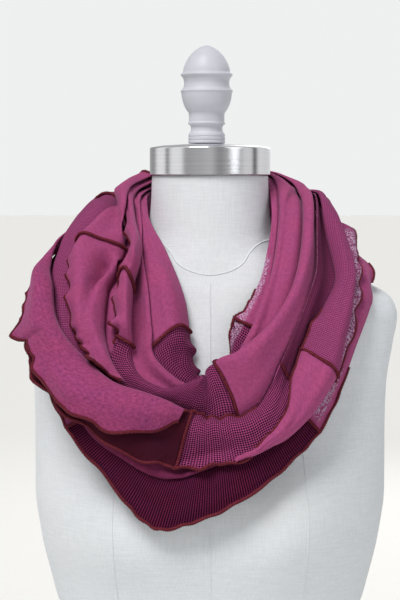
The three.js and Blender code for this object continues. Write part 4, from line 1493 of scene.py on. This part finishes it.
def level_curves():
    """The torso's sizes as smooth functions of height."""
    z = np.array([row[0] for row in BODY_LEVELS], float)
    columns = []
    for k in (1, 2, 3):
        y = np.array([row[k] for row in BODY_LEVELS], float)
        slope = np.diff(y) / np.diff(z)
        before, after = slope[:-1], slope[1:]
        total = np.where(np.abs(before + after) < 1e-9, 1, before + after)
        inner = np.where(before * after > 0, 2 * before * after / total, 0)
        columns.append((y, np.concatenate([[slope[0]], inner, [slope[-1]]])))

    def at(height):
        i = np.clip(np.searchsorted(z, height, side="right") - 1, 0, len(z) - 2)
        run = z[i + 1] - z[i]
        f = (height - z[i]) / run
        found = []
        for y, m in columns:
            rise = f * f * (3 - 2 * f)
            bend = run * f * (1 - f) * (m[i] * (1 - f) - m[i + 1] * f)
            found.append(y[i] * (1 - rise) + y[i + 1] * rise + bend)
        return found

    return at


def torso_point(curves, angle, height):
    half, front, back = curves(height)
    x = half * np.cos(angle)
    depth = np.where(np.sin(angle) < 0, front, back)
    away = (np.abs(x) - BUST["x"]) / BUST["wide"]
    above = (height - BUST["z"]) / BUST["tall"]
    bump = BUST["out"] * np.exp(-(away**2) - above**2)
    y = depth * np.sin(angle) - np.where(np.sin(angle) < 0, bump, 0)
    return np.stack([x, y, height], -1)


def torso_mesh(sides, rows):
    curves = level_curves()
    height = np.linspace(0, BODY_LEVELS[-1][0], rows)
    angle = 2 * np.pi * np.arange(sides) / sides
    a, h = np.meshgrid(angle, height)
    points = torso_point(curves, a, h)
    at = np.arange(rows * sides).reshape(rows, sides)
    right = np.roll(at, -1, 1)
    quads = np.stack([at[:-1], right[:-1], right[1:], at[1:]], -1).reshape(-1, 4).tolist()
    quads.append(at[0, ::-1].tolist())
    quads.append(at[-1].tolist())
    mesh = bpy.data.meshes.new("linen_torso")
    mesh.from_pydata((points.reshape(-1, 3) * MM).tolist(), [], quads)
    mesh.shade_smooth()
    mesh.polygons[-1].use_smooth = False
    mesh.polygons[-2].use_smooth = False
    return mesh


def turned_mesh(name, profile, sides, x, z):
    """A closed mesh turned about an upright axis, from rows of height and radius."""
    rows = [(profile[0][0], 0.0), *profile, (profile[-1][0], 0.0)]
    angle = 2 * math.pi * np.arange(sides) / sides
    corners = [(x * MM, 0.0, (z + rows[0][0]) * MM)]
    for height, radius in rows[1:-1]:
        corners.extend(
            ((x + radius * c) * MM, radius * s * MM, (z + height) * MM)
            for c, s in zip(np.cos(angle), np.sin(angle))
        )
    corners.append((x * MM, 0.0, (z + rows[-1][0]) * MM))
    last = len(corners) - 1
    faces = []
    for k in range(sides):
        j = (k + 1) % sides
        faces.append((0, 1 + j, 1 + k))
        for row in range(len(rows) - 3):
            a, b = 1 + row * sides, 1 + (row + 1) * sides
            faces.append((a + k, a + j, b + j, b + k))
        top = 1 + (len(rows) - 3) * sides
        faces.append((top + k, top + j, last))
    mesh = bpy.data.meshes.new(name)
    mesh.from_pydata(corners, [], faces)
    mesh.shade_smooth()
    return mesh


def smooth_profile(rows, times=4):
    """A denser profile, through the rows without overshoot."""
    h = np.array([row[0] for row in rows], float)
    r = np.array([row[1] for row in rows], float)
    slope = np.diff(r) / np.diff(h)
    total = slope[:-1] + slope[1:]
    safe = np.where(np.abs(total) < 1e-9, 1, total)
    inner = np.where(slope[:-1] * slope[1:] > 0, 2 * slope[:-1] * slope[1:] / safe, 0)
    m = np.concatenate([[slope[0]], inner, [slope[-1]]])
    made = []
    for i in range(len(h) - 1):
        run = h[i + 1] - h[i]
        for f in np.arange(times) / times:
            rise = f * f * (3 - 2 * f)
            bend = run * f * (1 - f) * (m[i] * (1 - f) - m[i + 1] * f)
            made.append((h[i] + run * f, r[i] * (1 - rise) + r[i + 1] * rise + bend))
    made.append((h[-1], r[-1]))
    return made


def seam_lines():
    """The seams of the linen cover: the collar line, the panels down the torso."""
    curves = level_curves()
    angle = np.linspace(-np.pi / 2, 1.5 * np.pi, 160)
    front = np.clip(-np.sin(angle), 0, 1)
    dip = 24 * front**6 + 6 * np.clip(1 - np.abs(np.cos(angle)) * 1.6, 0, 1) * front
    lines = [torso_point(curves, angle, 583 - dip)]
    down = np.linspace(4, 546, 150)
    for start, end in ((-90, -90), (-52, -66), (-128, -114), (0, 0), (180, 180)):
        turn = np.radians(start + (end - start) * (down / 546) ** 2)
        lines.append(torso_point(curves, turn, down))
    back = np.linspace(4, 572, 150)
    for start, end in ((90, 90), (55, 70), (125, 110)):
        turn = np.radians(start + (end - start) * (back / 572) ** 2)
        lines.append(torso_point(curves, turn, back))
    return lines


def finish(piece, slot, *nodes):
    """Rides a finished piece on the part and hides the imported nodes that it stands in for."""
    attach(piece, "root")
    if nodes:
        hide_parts(*nodes)
    return piece


SLOTS = {
    "jersey": "jersey",
    "dark_jersey": "jersey",
    "wine_jersey": "jersey",
    "deep_rib": "rib",
    "fleece": "fleece",
    "waffle": "waffle",
    "ribbed": "waffle",
    "rib": "rib",
}


class SCARF_OT_torso(bpy.types.Operator):
    """Builds the linen torso and the seams of its cover."""

    bl_idname = "scarf.torso"
    bl_label = "Linen torso"

    def execute(self, context):
        form = context.scene.dress_form
        linen = linen_material(form.linen)
        torso = add_object("linen_torso", torso_mesh(form.sides, form.rows), linen)
        finish(torso, "linen", "form_body")
        tree, ids = serging_tree()
        values = {
            "Roll radius": 0.55 * MM,
            "Thread radius": 0.16 * MM,
            "Stitch pitch": 2.4 * MM,
            "Stitch lean": 0.5,
            "Unevenness": 0.05,
            "Seed": 3,
        }
        seams = grown(
            "linen_seams", lines_mesh("linen_seams", seam_lines()), tree, ids, values, linen
        )
        finish(seams, "linen")
        return {"FINISHED"}


class SCARF_OT_cap(bpy.types.Operator):
    """Builds the spun metal cap on the neck."""

    bl_idname = "scarf.cap"
    bl_label = "Neck cap"

    def execute(self, context):
        r, tall, dome = CAP["r"], CAP["tall"], CAP["dome"]
        profile = [
            (0, r - 2),
            (0, r - 0.5),
            (0.5, r),
            (1, r),
            (tall - 1.8, r),
            (tall - 1.2, r),
            (tall - 0.5, r - 0.3),
            (tall, r - 1),
            (tall + dome * 0.5, r * 0.8),
            (tall + dome * 0.85, r * 0.5),
            (tall + dome, 18),
        ]
        metal = steel_material(context.scene.dress_form.steel)
        cap = add_object("spun_cap", turned_mesh("spun_cap", profile, 160, 0, CAP["z"]), metal)
        finish(cap, "steel", "neck_cap")
        return {"FINISHED"}


class SCARF_OT_finial(bpy.types.Operator):
    """Builds the turned and painted finial."""

    bl_idname = "scarf.finial"
    bl_label = "Finial"

    def execute(self, context):
        profile = [*smooth_profile(FINIAL_PROFILE), (FINIAL["tall"], 1.2)]
        mesh = turned_mesh("turned_finial", profile, 96, FINIAL["x"], FINIAL["z"] + 0.3)
        paint = paint_material(context.scene.dress_form.paint)
        finish(add_object("turned_finial", mesh, paint), "painted", "finial")
        return {"FINISHED"}


class SCARF_OT_folds(bpy.types.Operator):
    """Lays the scarf fold by fold and binds its seams and hems."""

    bl_idname = "scarf.folds"
    bl_label = "Scarf folds"

    def execute(self, context):
        scene = context.scene
        cloth, colours, edge = scene.scarf_cloth, scene.scarf_colours, scene.serged_edge
        groups = {"knit": knit_group(), "dye": dye_group(), "heather": heather_group()}
        materials = {name: cloth_material(name, groups, colours) for name in CLOTHS}
        thread = thread_material(colours.thread)
        tree, ids = serging_tree()
        laid = Laid()
        below = ["linen_torso"]
        for k, fold in enumerate(FOLDS):
            grid = lay_fold(fold, laid, cloth)
            values = {
                "Roll radius": edge.roll,
                "Thread radius": edge.thread,
                "Stitch pitch": edge.pitch,
                "Stitch lean": edge.lean,
                "Unevenness": 0.18,
                "Seed": k,
            }
            name = fold["name"] + "_serging"
            guide = lines_mesh(name, edge_lines(fold, grid))
            serging = finish(grown(name, guide, tree, ids, values, thread), None)
            self.panels(fold, grid, materials, cloth.wall / MM, below, serging)
            below = [fold["panels"][0][0] + "_cloth", "linen_torso"]
        return {"FINISHED"}

    def panels(self, fold, grid, materials, wall, below, serging):
        total = len(grid["u"])
        speckle = zone(fold, grid["u"], grid["v"])
        for (node, cloth, *_), (first, count) in zip(fold["panels"], grid["spans"]):
            index = (first + np.arange(count + 1)) % total
            mesh, flat = panel_mesh(
                node + "_cloth",
                grid["points"][index],
                grid["face"][index],
                grid["run"][index],
                wall,
                speckle[index],
            )
            piece = finish(add_object(node + "_cloth", mesh, materials[cloth]), SLOTS[cloth], node)


class SCARF_OT_stage(bpy.types.Operator):
    """Sets the camera, the pale floor and the soft light."""

    bl_idname = "scarf.stage"
    bl_label = "Studio"

    def execute(self, context):
        scene, studio = context.scene, context.scene.studio
        scene.view_settings.view_transform = "Standard"
        camera = bpy.data.objects.new("camera", bpy.data.cameras.new("camera"))
        camera.data.lens = 120
        camera.data.sensor_width = 36
        aim = Vector((-0.009, 0, 0.5284))
        away = Vector((0, -math.cos(studio.pitch), math.sin(studio.pitch)))
        camera.location = aim + away * studio.distance
        camera.rotation_euler = (-away).to_track_quat("-Z", "Y").to_euler()
        scene.collection.objects.link(camera)
        scene.camera = camera
        self.floor(scene)
        self.light(scene, "fill", (1.7, -1.6, 1.3), 1.4, studio.fill, (0.94, 0.97, 1))
        self.light(scene, "back", (0.9, 2.4, 1.5), 1.6, studio.back, (1, 0.99, 0.97))
        self.key(scene, studio.key)
        self.room(scene, studio.sky)
        return {"FINISHED"}

    def floor(self, scene):
        mesh = bpy.data.meshes.new("floor")
        size = 60.0
        corners = [(-size, -size, 0), (size, -size, 0), (size, size, 0), (-size, size, 0)]
        mesh.from_pydata(corners, [], [(0, 1, 2, 3)])
        material, t, shader = new_material("Pale floor")
        place = t.node("ShaderNodeTexCoord").outputs["Object"]
        noise = t.node("ShaderNodeTexNoise", {"Vector": place, "Scale": 30.0, "Detail": 3.0})
        t.put(
            t.mix(noise.outputs[0], (0.86, 0.86, 0.84), (0.88, 0.88, 0.86)),
            shader.inputs["Base Color"],
        )
        shader.inputs["Roughness"].default_value = 0.9
        floor = add_object("floor", mesh, material)
        floor.location.z = -0.0005
        floor.visible_glossy = False

    def light(self, scene, name, place, size, power, colour):
        lamp = bpy.data.lights.new(name, "AREA")
        lamp.shape = "DISK"
        lamp.size = size
        lamp.energy = power
        lamp.color = colour
        holder = bpy.data.objects.new(name, lamp)
        holder.location = place
        aim = Vector((0, 0, 0.45)) - Vector(place)
        holder.rotation_euler = aim.to_track_quat("-Z", "Y").to_euler()
        scene.collection.objects.link(holder)

    def key(self, scene, power):
        lamp = bpy.data.lights.new("key", "SUN")
        lamp.energy = power
        lamp.angle = math.radians(28)
        lamp.color = (1, 0.985, 0.97)
        holder = bpy.data.objects.new("key", lamp)
        holder.location = (-1, -2, 3)
        holder.rotation_euler = Vector((0.36, 0.62, -1)).to_track_quat("-Z", "Y").to_euler()
        scene.collection.objects.link(holder)

    def room(self, scene, strength):
        world = bpy.data.worlds.new("Pale room")
        scene.world = world
        world.use_nodes = True
        t = Tree(world.node_tree)
        ground = world.node_tree.nodes["Background"]
        way = t.node("ShaderNodeTexCoord").outputs["Generated"]
        split = t.node("ShaderNodeSeparateXYZ", {"Vector": way})
        turn = t.math("ARCTAN2", split.outputs["X"], t.math("MULTIPLY", split.outputs["Y"], -1.0))
        ramp = t.node("ShaderNodeValToRGB", {"Fac": t.remap(turn, -math.pi, math.pi)})
        self.bands(ramp.color_ramp)
        sight = t.node("ShaderNodeLightPath")
        colour = t.mix(sight.outputs["Is Glossy Ray"], (0.86, 0.87, 0.87), ramp.outputs[0])
        direct = t.math("MAXIMUM", sight.outputs["Is Camera Ray"], sight.outputs["Is Glossy Ray"])
        t.put(t.math("MAXIMUM", direct, strength), ground.inputs["Strength"])
        t.put(colour, ground.inputs["Color"])

    def bands(self, ramp):
        """Bright windows and darker walls, as the metal cap mirrors them."""
        rows = [
            (0, 0.5),
            (0.12, 0.35),
            (0.18, 1),
            (0.225, 1),
            (0.25, 0.3),
            (0.285, 1),
            (0.335, 1),
            (0.37, 0.42),
            (0.44, 0.5),
            (0.5, 0.58),
            (0.55, 0.33),
            (0.6, 0.45),
            (0.66, 0.55),
            (0.7, 0.8),
            (0.735, 0.8),
            (0.76, 0.1),
            (0.8, 0.9),
            (0.87, 0.8),
        ]
        ramp.interpolation = "EASE"
        while len(ramp.elements) < len(rows):
            ramp.elements.new(0.5)
        for element, (place, tone) in zip(ramp.elements, rows):
            element.position = place
            element.color = (tone, tone, tone * 1.02, 1)


class SCARF_PT_panel(bpy.types.Panel):
    """Lists the pieces of the scarf and the form."""

    bl_label = "Infinity scarf"
    bl_space_type = "VIEW_3D"
    bl_region_type = "UI"
    bl_category = "Scarf"

    def draw(self, context):
        for operator in OPERATORS:
            self.layout.operator(operator.bl_idname)
        for name in GROUPS:
            box = self.layout.box()
            box.label(text=name.replace("_", " ").capitalize())
            settings = getattr(context.scene, name)
            for key in settings.__annotations__:
                box.prop(settings, key)


OPERATORS = (
    SCARF_OT_stage,
    SCARF_OT_torso,
    SCARF_OT_cap,
    SCARF_OT_finial,
    SCARF_OT_folds,
)
GROUPS = {
    "scarf_cloth": ScarfCloth,
    "scarf_colours": ScarfColours,
    "serged_edge": SergedEdge,
    "dress_form": DressForm,
    "studio": Studio,
}


def register():
    for cls in (*GROUPS.values(), *OPERATORS, SCARF_PT_panel):
        bpy.utils.register_class(cls)
    for name, cls in GROUPS.items():
        setattr(bpy.types.Scene, name, PointerProperty(type=cls))


def unregister():
    for name in GROUPS:
        delattr(bpy.types.Scene, name)
    for cls in reversed((*GROUPS.values(), *OPERATORS, SCARF_PT_panel)):
        bpy.utils.unregister_class(cls)


def main():
    register()
    bpy.ops.scarf.stage()
    bpy.ops.scarf.torso()
    bpy.ops.scarf.cap()
    bpy.ops.scarf.finial()
    bpy.ops.scarf.folds()


if __name__ == "__main__":
    main()
